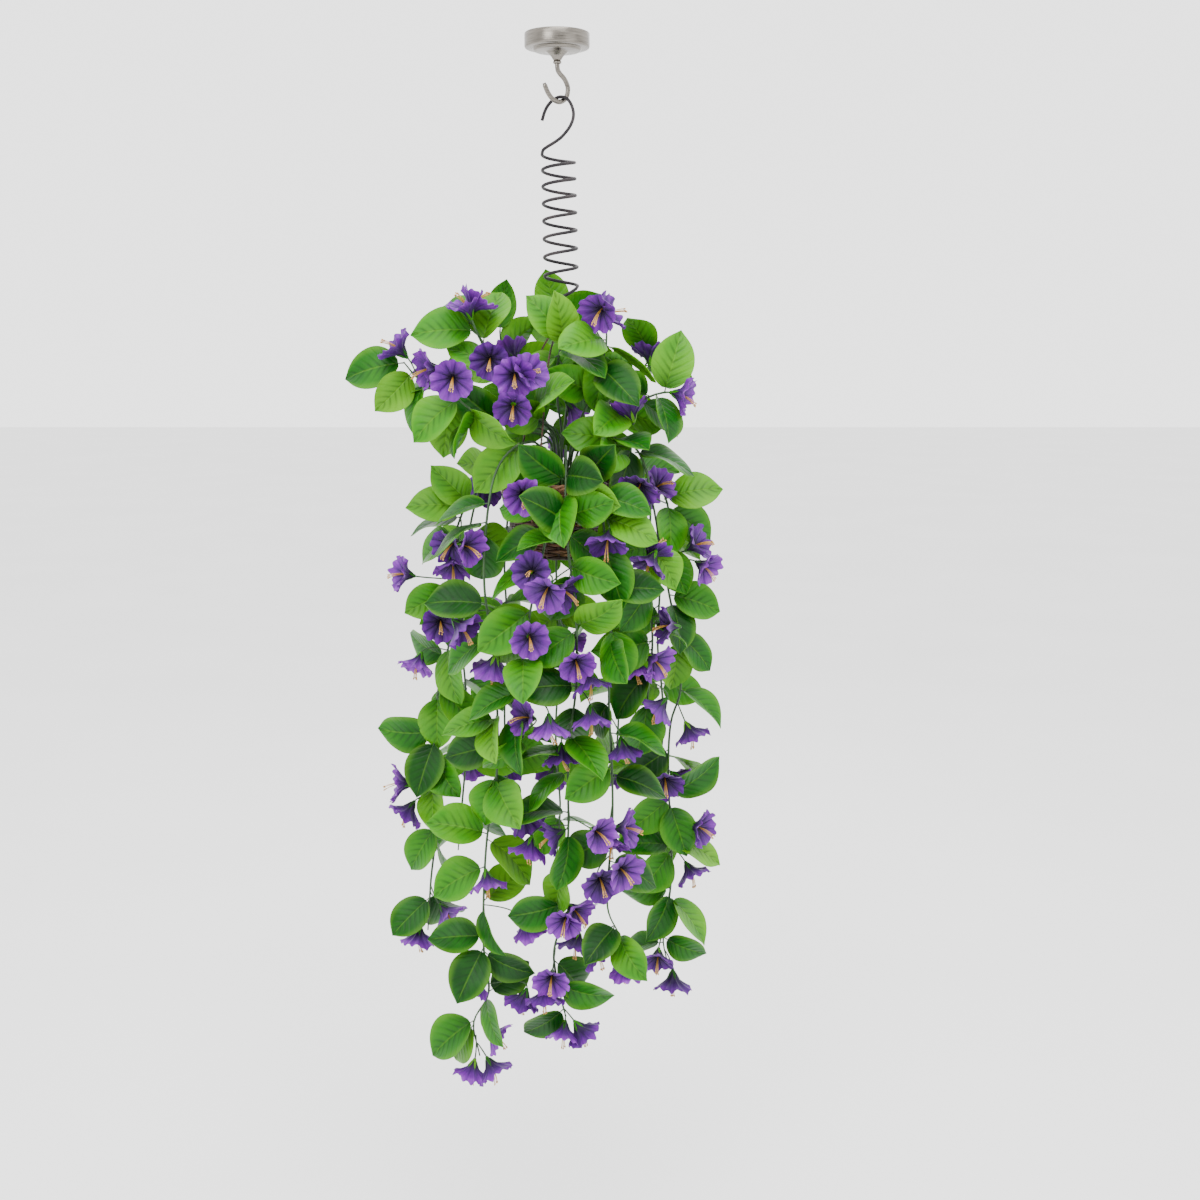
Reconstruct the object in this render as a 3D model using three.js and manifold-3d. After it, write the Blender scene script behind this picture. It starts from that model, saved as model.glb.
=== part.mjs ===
// A hanging basket of trailing petunias: a ceiling plate with a hook, a coiled wire hanger, a harness of
// three twisted wire legs, a small woven basket filled with foam, and sprays of leaves and blooms that stand
// in the foam. Millimetres, +Z up, seen from -Y. The origin is the centre of the face against the ceiling.
import * as THREE from "three";
import { mergeVertices } from "three/addons/utils/BufferGeometryUtils.js";
import Module from "manifold-3d";

const wasm = await Module();
wasm.setup();

// Driving dimensions. Round things have their radius here.
const plate = {
  radius: 34, height: 15, inner: 25, step: 3, boss: 11.5, bossLength: 9, neck: 4.7, collar: 3.2, bore: 3.1,
};
const hook = { wire: 2.5, heading: 25, shankTop: -12 };
const hanger = {
  wire: 1.55, coil: 17.1, swell: 0.5, pitch: 15.8, stretch: 0.29, turns: 7.5, top: -120.6, right: 0.5,
  drift: 2.5, steps: 8,
};
const eye = { across: 3, height: -275, radius: 5, twist: 3.6 };
const harness = { wire: 1.2, loop: 4.3, strand: 2.3, strandEnd: -298, headings: [-107, 13, 133] };
const basket = {
  rim: -466, radius: 66, roll: 4, foot: 47, height: 80, wall: 4, weave: 1, stakes: 12, rows: 7,
};
const legHole = { height: -474.6, radius: 2.3 };
const foam = { below: 18, height: 57.6, gap: 0.6, holeRadius: 2.1, holeSpacing: 3.1, sunk: 24 };
const stemWire = 1.3;
const stemStep = 64;
const leafSize = { length: 66, spacing: 6, width: 0.69, thick: 1.2, fold: 0.2, droop: 0.14 };
const bloomSize = {
  radius: 22.5, notch: 19, depth: 21, neck: 5.5, throat: 3.4, ruffle: 2, stamens: 6, stalk: 26,
};
const stalkWire = 0.85;
const clearance = { leaf: 10, own: 7, ownStem: 4.5, bloom: 8, stem: 7.5, wire: 8, wall: 8 };
const randomSeed = 6491;

// Where the sprays run, in millimetres. A stem is a row of places, a bloom is its place and the heading and
// lean that it faces, and a leaf is how far along the stem it grows and the heading and lean of its tip.
const trailing = {
  right_outer: {
    stem: [
      [45, 0, -431], [88, 0, -446], [119, -1, -490], [116, -1, -553], [121, -2, -587], [131, -2, -638],
      [136, -2, -700], [125, -2, -742], [123, -2, -803], [127, -3, -882], [127, -3, -937], [121, -2, -986],
      [119, -2, -1009], [124, -2, -1034]
    ],
    blooms: [
      [114, -20, -464, 40, 30], [158, -17, -530, 30, 18], [166, -21, -562, 330, 32],
      [150, -16, -756, 295, 12], [119, -27, -809, 275, 58], [166, -22, -862, 355, 32],
      [153, -19, -922, 300, 18], [111, -26, -1026, 260, 50], [130, -18, -1061, 270, 18]
    ],
    leaves: [
      [101, 16, 5], [105, 340, -10], [105, 289, 15], [150, 297, 10], [202, 331, 0], [210, 285, 30],
      [250, 319, 5], [255, 266, 10], [313, 316, 20], [384, 238, 20], [436, 28, 5], [443, 246, 15],
      [450, 290, 10], [496, 344, 5], [502, 186, 10], [507, 228, 25], [556, 190, 0], [560, 246, 30],
      [565, 300, 15], [620, 320, 5], [622, 214, 5]
    ],
  },
  right_inner: {
    stem: [
      [36, -16, -425], [74, -34, -419], [93, -48, -446], [98, -60, -489], [96, -66, -564], [101, -66, -629],
      [97, -64, -686], [95, -62, -711]
    ],
    blooms: [
      [83, -79, -468, 240, 50], [105, -68, -525, 60, -20], [93, -82, -548, 240, 20],
      [110, -81, -610, 172, 15], [110, -86, -653, 330, 35], [83, -78, -665, 265, 10],
      [103, -74, -709, 230, 5]
    ],
    leaves: [
      [34, 180, 5], [34, 245, 45], [34, 340, 35], [49, 240, 10], [57, 350, 5], [125, 190, 15],
      [160, 320, 15], [206, 250, 25], [245, 345, 10], [265, 200, 10], [300, 215, 10], [333, 290, 15]
    ],
  },
  front_right: {
    stem: [
      [23, -32, -426], [36, -74, -447], [45, -90, -480], [51, -98, -526], [56, -100, -600], [54, -98, -688],
      [57, -96, -755], [58, -92, -824], [53, -88, -901], [54, -86, -934], [66, -84, -961]
    ],
    blooms: [
      [51, -118, -522, 260, 35], [70, -108, -747, 280, 5], [80, -106, -828, 8, 15],
      [57, -109, -852, 275, 30],
      [48, -115, -891, 315, 68], [74, -114, -875, 345, 55], [46, -99, -985, 310, 15],
      [76, -91, -1004, 280, -10]
    ],
    leaves: [
      [50, 20, 10], [77, 335, 5], [100, 300, 15], [129, 285, 10], [176, 20, 10],
      [216, 311, 20], [230, 235, 10], [297, 259, 10], [332, 305, 10], [369, 197, 5], [381, 347, 10],
      [452, 216, 10], [480, 330, 10], [561, 206, 5], [573, 260, 15]
    ],
  },
  front_centre: {
    stem: [
      [8, -38, -423], [9, -82, -450], [9, -98, -479], [11, -106, -520], [17, -108, -567], [20, -108, -609],
      [19, -104, -675], [12, -100, -726], [10, -96, -772], [10, -92, -836], [6, -90, -894], [0, -88, -948],
      [-7, -86, -987], [1, -82, -1041], [6, -80, -1062]
    ],
    blooms: [
      [15, -126, -568, 340, 25], [22, -131, -644, 300, 60], [36, -119, -671, 285, 15],
      [36, -116, -709, 275, 15], [4, -110, -753, 272, 8], [48, -116, -822, 352, 50],
      [-14, -105, -840, 200, 10], [-35, -104, -860, 255, 10], [5, -114, -938, 245, 65],
      [24, -110, -932, 330, 40], [16, -103, -981, 256, 25], [-10, -111, -1008, 255, 72],
      [-17, -100, -1037, 270, 25], [3, -98, -1081, 262, 25], [28, -92, -1080, 305, 5]
    ],
    leaves: [
      [36, 280, 20], [52, 350, 10], [58, 200, 15], [66, 328, 30], [74, 240, 40], [98, 22, 10],
      [103, 168, 10], [116, 316, 5], [120, 221, 30], [148, 300, 20], [154, 196, 20], [212, 31, 5],
      [217, 241, 10], [278, 187, 10], [297, 293, 5], [335, 322, 15], [352, 206, 15], [376, 254, 15],
      [423, 231, 10], [445, 277, 15], [489, 239, 15], [531, 248, 10], [601, 303, 10], [631, 342, 5],
      [663, 219, 10]
    ],
  },
  front_left: {
    stem: [
      [-7, -36, -426], [-9, -76, -445], [-9, -94, -474], [-13, -102, -520], [-26, -106, -578],
      [-37, -106, -642], [-42, -102, -697], [-37, -100, -729]
    ],
    blooms: [
      [-33, -121, -469, 290, 72], [-27, -131, -542, 120, 70], [-12, -130, -562, 235, 55],
      [-27, -134, -615, 315, 78], [-40, -122, -699, 160, 35], [-8, -112, -716, 272, 5]
    ],
    leaves: [
      [79, 262, 5], [86, 196, 10], [112, 250, 20], [140, 215, 15],
      [196, 216, 15], [222, 330, 15], [246, 275, 15], [285, 200, 10], [310, 305, 10], [336, 255, 10]
    ],
  },
  left_inner: {
    stem: [
      [-20, -30, -424], [-43, -52, -422], [-64, -70, -446], [-74, -84, -497], [-77, -92, -564],
      [-70, -92, -624], [-66, -86, -691], [-68, -80, -777], [-80, -76, -851], [-85, -76, -924],
      [-86, -72, -986], [-82, -66, -1040], [-100, -62, -1079], [-94, -60, -1122]
    ],
    blooms: [
      [-86, -109, -523, 350, 35], [-94, -109, -613, 320, 20], [-71, -94, -659, 255, -15],
      [-35, -78, -836, 300, -30], [-78, -92, -904, 280, 20], [-32, -81, -959, 300, -10],
      [-100, -76, -1031, 240, 0], [-45, -79, -1050, 250, 10], [-68, -74, -1095, 330, 10],
      [-104, -75, -1140, 255, 15], [-74, -75, -1133, 300, 15]
    ],
    leaves: [
      [32, 287, 5], [32, 236, 15], [104, 205, 5], [124, 215, 10], [134, 262, 15], [212, 188, 5],
      [217, 345, 5], [246, 231, 10], [241, 287, 10], [313, 322, 15], [340, 185, 15], [340, 262, 20],
      [369, 222, 15], [377, 320, 15], [405, 252, 10], [405, 278, 5], [412, 312, 10], [474, 165, 5],
      [480, 309, 10], [512, 234, 20], [554, 31, 5], [559, 291, 15], [596, 180, 5], [611, 239, 20],
      [616, 322, 15], [670, 15, 10], [674, 286, 30], [714, 254, 10], [714, 216, 5]
    ],
  },
  left_outer: {
    stem: [
      [-32, -3, -433], [-65, -7, -446], [-80, -8, -464], [-105, -10, -495], [-122, -10, -551],
      [-125, -11, -648], [-138, -11, -700], [-143, -10, -753], [-145, -10, -830], [-145, -9, -873],
      [-152, -8, -929], [-157, -8, -991]
    ],
    blooms: [
      [-178, -28, -563, 165, 25], [-123, -34, -536, 215, 50], [-116, -30, -562, 275, 35],
      [-130, -39, -619, 315, 80], [-161, -29, -672, 250, 25], [-190, -23, -806, 175, 10],
      [-179, -24, -846, 235, 15], [-127, -24, -970, 315, 20], [-167, -21, -1001, 265, 8]
    ],
    leaves: [
      [92, 131, 5], [96, 187, 15], [108, 203, 5], [130, 209, 10], [189, 223, 15], [255, 274, 25],
      [267, 163, 5], [309, 318, 10], [313, 254, 10], [357, 182, 0], [368, 250, 15], [388, 295, 25],
      [415, 255, 5], [475, 251, 5], [478, 290, 10], [559, 235, 20], [559, 286, 5]
    ],
  },
  back_left: {
    stem: [
      [-16, 14, -430], [-56, 29, -438], [-92, 45, -480], [-111, 53, -562], [-117, 56, -657],
      [-112, 56, -754],
      [-120, 53, -853], [-126, 50, -915]
    ],
  },
  back_left_inner: {
    stem: [
      [-9, 32, -427], [-36, 64, -441], [-59, 92, -486], [-69, 104, -571], [-67, 108, -669],
      [-72, 106, -769],
      [-69, 102, -857]
    ],
  },
  back_centre: {
    stem: [
      [0, 36, -425], [-2, 74, -446], [-5, 100, -498], [-8, 112, -584], [-4, 116, -684], [-10, 114, -784],
      [-5, 110, -886], [-10, 106, -950]
    ],
  },
  back_right_inner: {
    stem: [
      [16, 34, -427], [40, 66, -441], [54, 94, -488], [64, 106, -571], [61, 110, -670], [67, 108, -770],
      [62, 104, -845]
    ],
  },
  back_right: {
    stem: [
      [33, 14, -428], [73, 30, -440], [101, 48, -483], [114, 56, -563], [112, 59, -658], [120, 58, -755],
      [112, 55, -854], [117, 52, -928]
    ],
  },
};
const rising = {
  far_left: {
    stem: [
      [-7, -6, -419], [-33, -14, -402], [-72, -22, -387], [-114, -28, -371], [-147, -30, -354],
      [-164, -30, -335]
    ],
    blooms: [
      [-174, -43, -315, 135, 10], [-144, -48, -343, 185, 25]
    ],
    leaves: [
      [169, 215, 20], [152, 240, 15], [134, 140, 5], [120, 262, 15], [183, 190, 0], [102, 100, -10]
    ],
  },
  low_left: {
    stem: [
      [-9, -18, -421], [-39, -40, -406], [-74, -52, -395], [-100, -60, -376], [-108, -62, -365]
    ],
    blooms: [
      [-107, -89, -353, 270, 75]
    ],
    leaves: [
      [88, 275, 20], [103, 300, 10], [116, 215, 15], [60, 130, 10]
    ],
  },
  mid_left: {
    stem: [
      [-3, -14, -417], [-28, -28, -391], [-53, -38, -362], [-73, -42, -327], [-88, -38, -298],
      [-92, -36, -286]
    ],
    blooms: [
      [-70, -69, -334, 265, 75], [-96, -49, -271, 110, 10], [-81, -43, -268, 60, -10]
    ],
    leaves: [
      [131, 76, 5], [148, 165, 10], [152, 112, -5], [96, 190, 10], [72, 330, 10]
    ],
  },
  centre_left: {
    stem: [
      [1, -22, -415], [-18, -34, -396], [-32, -46, -378], [-40, -54, -364], [-44, -58, -355]
    ],
    blooms: [
      [-43, -85, -350, 280, 75], [-46, -81, -383, 262, 65], [-25, -79, -342, 40, 40]
    ],
    leaves: [
      [44, 350, 10], [29, 200, 10], [64, 205, 0]
    ],
  },
  back_left_high: {
    stem: [
      [-7, 8, -418], [-33, 28, -389], [-54, 42, -351], [-65, 46, -318], [-67, 46, -302]
    ],
    blooms: [
      [-58, 45, -321, 120, -30]
    ],
    leaves: [
      [138, 85, 0], [103, 170, -10], [117, 30, -15], [75, 200, -20], [93, 60, -25]
    ],
  },
  centre_high: {
    stem: [
      [3, -8, -415], [-1, -14, -381], [-2, -20, -349], [2, -24, -323], [8, -26, -310]
    ],
    leaves: [
      [109, 130, 10], [109, 80, 15], [100, 340, 25], [92, 215, 20], [84, 320, 30], [57, 30, 10],
      [57, 160, 10]
    ],
  },
  centre_back: {
    stem: [
      [4, 14, -417], [8, 34, -378], [6, 48, -340], [0, 54, -307], [-5, 54, -291]
    ],
    blooms: [
      [22, 24, -392, 320, -20]
    ],
    leaves: [
      [136, 100, -5], [127, 40, 0], [114, 150, -20], [85, 20, -20], [85, 165, -25], [55, 60, -30]
    ],
  },
  mid_right: {
    stem: [
      [15, -14, -416], [29, -24, -384], [42, -32, -349], [51, -34, -317], [51, -34, -300]
    ],
    blooms: [
      [41, -58, -286, 225, 50], [60, -47, -281, 30, 10]
    ],
    leaves: [
      [113, 185, 15], [103, 235, 20], [108, 330, 15], [75, 215, 15], [84, 345, 20], [56, 200, 10],
      [49, 20, 10]
    ],
  },
  low_right: {
    stem: [
      [21, -10, -419], [49, -22, -402], [79, -28, -381], [104, -28, -369], [121, -26, -367]
    ],
    blooms: [
      [139, -41, -372, 345, 15], [74, -29, -380, 110, -30]
    ],
    leaves: [
      [100, 275, 20], [109, 75, 5], [94, 120, 5], [82, 310, 15], [57, 250, 15], [44, 100, 5]
    ],
  },
  back_right_high: {
    stem: [
      [18, 10, -421], [45, 34, -398], [76, 48, -366], [95, 52, -341], [101, 52, -330]
    ],
    blooms: [
      [100, 52, -321, 90, -20]
    ],
    leaves: [
      [121, 45, -5], [134, 130, 5], [113, 340, -5], [90, 180, -10], [90, 300, -15], [59, 120, -20],
      [59, 350, -20]
    ],
  },
  rear_left: {
    stem: [
      [-4, 24, -422], [-18, 60, -402], [-36, 85, -381], [-54, 98, -364]
    ],
  },
  rear_right: {
    stem: [
      [16, 26, -424], [36, 60, -400], [52, 86, -379], [66, 100, -359]
    ],
  },
};

const V = (x, y, z) => new THREE.Vector3(x, y, z);
const turn = (degrees) => (degrees * Math.PI) / 180;

let seed = randomSeed;
function between(low, high) {
  seed = (seed * 16807) % 2147483647;
  return low + ((high - low) * seed) / 2147483647;
}

// The direction that points that many degrees anticlockwise from the right, leaning towards the viewer
function aim(heading, lean) {
  const flat = Math.cos(turn(lean));
  return V(Math.cos(turn(heading)) * flat, -Math.sin(turn(lean)), Math.sin(turn(heading)) * flat);
}

// A path that goes straight from point to point
class Wire extends THREE.Curve {
  constructor(points) {
    super();
    this.points = points;
  }

  getPoint(part) {
    const place = Math.min(Math.max(part, 0), 1) * (this.points.length - 1);
    const index = Math.min(Math.floor(place), this.points.length - 2);
    return this.points[index].clone().lerp(this.points[index + 1], place - index);
  }

  getPointAt(part) {
    return this.getPoint(part);
  }

  getTangentAt(part) {
    return this.getTangent(part);
  }
}

// A smooth curve through the points, cut into steps of about that length
function smooth(points, step) {
  const curve = new THREE.CatmullRomCurve3(points, false, "catmullrom", 0.5);
  const spans = points.length - 1;
  const path = [points[0].clone()];
  for (let span = 0; span < spans; span += 1) {
    const cuts = Math.max(1, Math.round(points[span].distanceTo(points[span + 1]) / step));
    for (let cut = 1; cut <= cuts; cut += 1) path.push(curve.getPoint((span + cut / cuts) / spans));
  }
  return path;
}

function wire(points, radius, sides) {
  const outline = [];
  for (let side = 0; side < sides; side += 1) {
    const angle = (side / sides) * 2 * Math.PI;
    outline.push(new THREE.Vector2(Math.cos(angle) * radius, Math.sin(angle) * radius));
  }
  const options = { steps: points.length - 1, extrudePath: new Wire(points), bevelEnabled: false };
  return new THREE.ExtrudeGeometry(new THREE.Shape(outline), options);
}

// A closed body from its corners and its faces
function shell(corners, faces) {
  const geometry = new THREE.BufferGeometry();
  const numbers = corners.flatMap((corner) => [corner.x, corner.y, corner.z]);
  geometry.setAttribute("position", new THREE.Float32BufferAttribute(numbers, 3));
  geometry.setIndex(faces.flat());
  return geometry;
}

function solid(geometry) {
  const bare = new THREE.BufferGeometry();
  bare.setAttribute("position", geometry.getAttribute("position").clone());
  if (geometry.index) bare.setIndex(geometry.index.clone());
  const merged = mergeVertices(bare, 1e-3);
  const numbers = Float32Array.from(merged.getAttribute("position").array);
  const corners = Uint32Array.from(merged.index.array);
  return new wasm.Manifold(new wasm.Mesh({ numProp: 3, vertProperties: numbers, triVerts: corners }));
}

function geometryOf(body) {
  const mesh = body.getMesh();
  const geometry = new THREE.BufferGeometry();
  const numbers = new Float32Array(mesh.numVert * 3);
  for (let corner = 0; corner < mesh.numVert; corner += 1) {
    for (let axis = 0; axis < 3; axis += 1) {
      numbers[corner * 3 + axis] = mesh.vertProperties[corner * mesh.numProp + axis];
    }
  }
  geometry.setAttribute("position", new THREE.BufferAttribute(numbers, 3));
  geometry.setIndex(new THREE.BufferAttribute(Uint32Array.from(outerFaces(mesh.triVerts, numbers)), 1));
  return geometry;
}

// The faces without those of small pockets that are closed in between crossing leaves and stalks
function outerFaces(indices, numbers) {
  const leader = Array.from({ length: numbers.length / 3 }, (_, index) => index);
  const find = (index) => {
    let top = index;
    while (leader[top] !== top) top = leader[top];
    leader[index] = top;
    return top;
  };
  const volume = new Map();
  const corner = (index) => V(numbers[index * 3], numbers[index * 3 + 1], numbers[index * 3 + 2]);
  for (let at = 0; at < indices.length; at += 3) {
    for (const other of [at + 1, at + 2]) leader[find(indices[other])] = find(indices[at]);
  }
  for (let at = 0; at < indices.length; at += 3) {
    const [a, b, c] = [corner(indices[at]), corner(indices[at + 1]), corner(indices[at + 2])];
    const shape = find(indices[at]);
    volume.set(shape, (volume.get(shape) ?? 0) + a.dot(b.cross(c)));
  }
  return indices.filter((_, place) => volume.get(find(indices[place - (place % 3)])) > 0);
}

function fuse(geometries) {
  let body = solid(geometries[0]);
  for (const geometry of geometries.slice(1)) body = body.add(solid(geometry));
  return geometryOf(body);
}

function cut(geometry, tools) {
  let body = solid(geometry);
  for (const tool of tools) body = body.subtract(solid(tool));
  return geometryOf(body);
}

function lathe(profile, segments) {
  const geometry = new THREE.LatheGeometry(profile.map(([r, z]) => new THREE.Vector2(r, z)), segments);
  return geometry.rotateX(Math.PI / 2);
}

function rod(radius, low, high, sides) {
  return new THREE.CylinderGeometry(radius, radius, high - low, sides)
    .rotateX(Math.PI / 2)
    .translate(0, 0, (low + high) / 2);
}

function ceilingPlate() {
  const { radius, height, inner, step, boss, bossLength, neck, collar } = plate;
  const face = -height - step;
  const low = face - bossLength;
  const body = lathe([
    [0, low - 3], [collar, low - 3], [collar + 1.3, low - 1.5], [collar, low], [neck, low + 1],
    [neck + 2.4, low + bossLength * 0.5], [boss, face], [inner - 1.5, face], [inner, face + 1.5],
    [inner, -height], [radius - 1.5, -height], [radius, -height + 1.5], [radius, -1], [radius - 1, 0],
    [0, 0],
  ], 24);
  return cut(body, [rod(plate.bore, low - 4, hook.shankTop + 3, 10)]);
}

// The hook's centre line as [across, height] in its own upright plane, which is turned to that heading
function ceilingHook() {
  const line = [
    [0, hook.shankTop], [0, -19], [0.2, -34], [2.5, -39], [8.4, -45], [12, -53.5], [9.8, -63], [2.8, -67.6],
    [-5, -65.5], [-10.8, -59], [-15, -50],
  ];
  const across = turn(hook.heading);
  const points = line.map(([u, z]) => V(u * Math.cos(across), u * Math.sin(across), z));
  return wire(smooth(points, 5), hook.wire, 6);
}

// An open hook, a coil whose lower turns are stretched a little, and a small eye at its end
function coilHanger() {
  const points = smooth([
    V(-16.8, 12, -84.8), V(-13.7, 10.3, -75.8), V(-9.9, 8.2, -69.6), V(-4.4, 5.4, -64.8),
    V(2.5, 1.2, -62.6), V(9.5, -2.6, -64.6), V(14.2, -5.6, -70.6), V(16.8, -8.2, -79),
    V(16.3, -10.5, -86.6), V(13.3, -12.5, -93.8), V(8.9, -14, -100), V(3.1, -15, -106),
    V(-4.2, -14.5, -110.8), V(-10.2, -12.5, -114), V(-15, -8.5, -117),
  ], 6);
  const { coil, swell, pitch, stretch, turns, top, right, drift, steps } = hanger;
  for (let step = 0; step <= turns * steps; step += 1) {
    const turned = step / steps;
    const part = turned / turns;
    const angle = Math.PI - turned * 2 * Math.PI;
    const radius = coil + swell * part;
    const across = right + drift * part + Math.cos(angle) * radius;
    points.push(V(across, Math.sin(angle) * radius, top - (pitch + stretch * turned) * turned));
  }
  points.push(
    V(18.6, -6.5, -258.6), V(13.5, -10.8, -262.2), V(7.2, -12, -265.6), V(1.6, -10, -268), V(0, -5.6, -269.4),
  );
  for (let step = 0; step <= 10; step += 1) {
    const angle = turn(80 - step * 33);
    const across = eye.across + Math.cos(angle) * eye.radius;
    const depth = -2.2 + (eye.twist * step) / 10;
    points.push(V(across, depth, eye.height + Math.sin(angle) * eye.radius));
  }
  return wire(points, hanger.wire, 4);
}

// Three wires in one strand under a loop, each then running down outside the rim and in through a hole
function legHarness() {
  const bottom = eye.height - eye.radius + hanger.wire;
  const centre = bottom + 0.4 + harness.wire - harness.loop;
  const ring = new THREE.TorusGeometry(harness.loop, harness.wire, 5, 11)
    .rotateY(Math.PI / 2)
    .translate(eye.across, -0.4, centre);
  const strand = rod(harness.strand, harness.strandEnd, centre - harness.loop, 6)
    .translate(eye.across, -0.4, 0);
  const legs = harness.headings.map((heading) => {
    const line = [
      [0, -293], [5, -297], [15, -305], [33, -329], [46, -369], [58, -414], [70, -449], [72.6, -462],
      [72.3, -469], [69.5, -473.6], [65, -474.6], [59, -474.4], [56.8, -471], [56.6, -466.5],
    ];
    const points = line.map(([out, z]) => {
      const side = eye.across * Math.max(0, 1 - out / 40);
      return V(side + Math.cos(turn(heading)) * out, Math.sin(turn(heading)) * out, z);
    });
    return wire(smooth(points, 30), harness.wire, 4);
  });
  return fuse([ring, strand, ...legs]);
}

function basketRadius(z) {
  const part = (z - basket.rim + basket.height) / basket.height;
  return basket.foot + (basket.radius - basket.foot) * part;
}

// Weavers pass in front of and behind the stakes in turn, row by row, under a rolled rim
function wovenBasket() {
  const { rim, height, wall, weave, stakes, rows, roll, radius } = basket;
  const columns = stakes * 2;
  const corners = [];
  const faces = [];
  const ring = (z, out) => {
    for (let column = 0; column < columns; column += 1) {
      const angle = (column / columns) * 2 * Math.PI;
      const reach = out(column);
      corners.push(V(Math.cos(angle) * reach, Math.sin(angle) * reach, z));
    }
  };
  const low = rim - height;
  ring(low, () => basket.foot - 2);
  for (let row = 0; row <= rows; row += 1) {
    const z = low + 2 + ((height - 2) * row) / rows;
    ring(z, (column) => basketRadius(z) + (((column >> 1) + row) % 2 ? weave : -weave));
  }
  ring(rim, () => radius - wall);
  ring(low + wall, () => basketRadius(low + wall) - wall);
  const rings = corners.length / columns;
  for (let band = 0; band < rings - 1; band += 1) {
    for (let column = 0; column < columns; column += 1) {
      const a = band * columns + column;
      const b = band * columns + ((column + 1) % columns);
      faces.push([a, b, b + columns], [a, b + columns, a + columns]);
    }
  }
  corners.push(V(0, 0, low), V(0, 0, low + wall));
  for (let column = 0; column < columns; column += 1) {
    const next = (column + 1) % columns;
    const inner = (rings - 1) * columns;
    faces.push([next, column, corners.length - 2], [inner + column, inner + next, corners.length - 1]);
  }
  const rolled = new THREE.TorusGeometry(radius - 1, roll, 5, columns).translate(0, 0, rim);
  const holes = harness.headings.map((heading) => rod(legHole.radius, -20, 20, 8)
    .rotateY(Math.PI / 2)
    .translate(radius, 0, legHole.height)
    .rotateZ(turn(heading)));
  return cut(fuse([shell(corners, faces), rolled]), holes);
}

function foamBlock(holes) {
  const { below, height, gap, holeRadius, sunk } = foam;
  const top = basket.rim - below;
  const side = (z) => (basketRadius(z) - basket.wall - gap) * Math.cos(Math.PI / 30);
  const low = top - height;
  const body = lathe([[0, low], [side(low), low], [side(top), top], [0, top]], 30);
  const hole = rod(holeRadius, top - sunk - 1, top + 1, 4);
  return cut(body, holes.map(({ x, y }) => hole.clone().translate(x, y, 0)));
}

// A blade with a keel under its midrib, ovate and drooping to its tip, that starts inside the stem
function leafBlade(leaf) {
  const corners = [];
  const sections = [[0, 0.02, 0.45], [0.14, 0.08, 1], [0.4, 0.93, 1.2], [0.72, 0.86, 1.2]];
  for (const [part, wide, thick] of sections) {
    const half = (leaf.length * leafSize.width * wide) / 2;
    const keel = leafPoint(leaf, part, 0).addScaledVector(leaf.up, -leafSize.thick * thick);
    corners.push(leafPoint(leaf, part, half), leafPoint(leaf, part, -half), keel);
  }
  corners.push(leafPoint(leaf, 1, 0));
  const faces = [[2, 1, 0]];
  for (const first of [0, 3, 6]) faces.push(...band(first, first + 3, 3));
  for (let corner = 0; corner < 3; corner += 1) faces.push([9 + corner, 9 + ((corner + 1) % 3), 12]);
  return shell(corners, faces);
}

// The faces between two rings of corners
function band(low, high, count) {
  const faces = [];
  for (let corner = 0; corner < count; corner += 1) {
    const next = (corner + 1) % count;
    faces.push([low + corner, low + next, high + next], [low + corner, high + next, high + corner]);
  }
  return faces;
}

// A place on a leaf: that part of its length from the stem, and that far to its left
function leafPoint(leaf, part, left) {
  const drop = leafSize.droop * leaf.length * (1.6 * part - 2.6 * part * part);
  const rise = drop + leafSize.fold * Math.abs(left);
  return leaf.root.clone()
    .addScaledVector(leaf.along, part * leaf.length)
    .addScaledVector(leaf.left, left)
    .addScaledVector(leaf.up, rise);
}

// Places around the bloom's axis, that far behind the middle of its mouth
function bloomRing(bloom, count, radiusOf, backOf) {
  const places = [];
  for (let index = 0; index < count; index += 1) {
    const angle = (index / count) * 2 * Math.PI + bloom.spin;
    places.push(bloom.centre.clone()
      .addScaledVector(bloom.left, Math.cos(angle) * radiusOf(index))
      .addScaledVector(bloom.up, Math.sin(angle) * radiusOf(index))
      .addScaledVector(bloom.facing, -backOf(index)));
  }
  return places;
}

// A bloom on its stalk: a narrow tube, a ruffled mouth with five lobes, and the stamens in the throat
function trumpet(bloom) {
  const { radius, notch, depth, neck, throat, ruffle, stamens } = bloomSize;
  const { scale, facing } = bloom;
  const wavy = (index, high, low) => (index % 2 ? low : high) * scale;
  const corners = [
    ...stalkRings(bloom),
    ...bloomRing(bloom, 5, () => neck * scale, () => depth * 0.5 * scale),
    ...bloomRing(bloom, 10, (index) => wavy(index, radius, notch), (index) => wavy(index, ruffle, -ruffle)),
    ...bloomRing(bloom, 5, () => throat * scale, () => depth * 0.42 * scale),
    bloom.centre.clone().addScaledVector(facing, stamens * scale),
  ];
  const [tube, mouth, inner, tip] = [6, 11, 21, 26];
  const faces = [[2, 1, 0], ...band(0, 3, 3), [3, 7, 6], [3, 4, 7], [4, 8, 7]];
  faces.push([4, 9, 8], [4, 5, 9], [5, 10, 9], [5, 6, 10], [5, 3, 6]);
  for (let lobe = 0; lobe < 5; lobe += 1) {
    const next = (lobe + 1) % 5;
    const [peak, dip, peakNext] = [mouth + lobe * 2, mouth + lobe * 2 + 1, mouth + next * 2];
    faces.push([tube + lobe, dip, peak], [tube + lobe, tube + next, dip], [tube + next, peakNext, dip]);
    faces.push([inner + lobe, peak, dip], [inner + lobe, dip, inner + next], [inner + next, dip, peakNext]);
    faces.push([inner + lobe, inner + next, tip]);
  }
  return shell(corners, faces);
}

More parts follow.
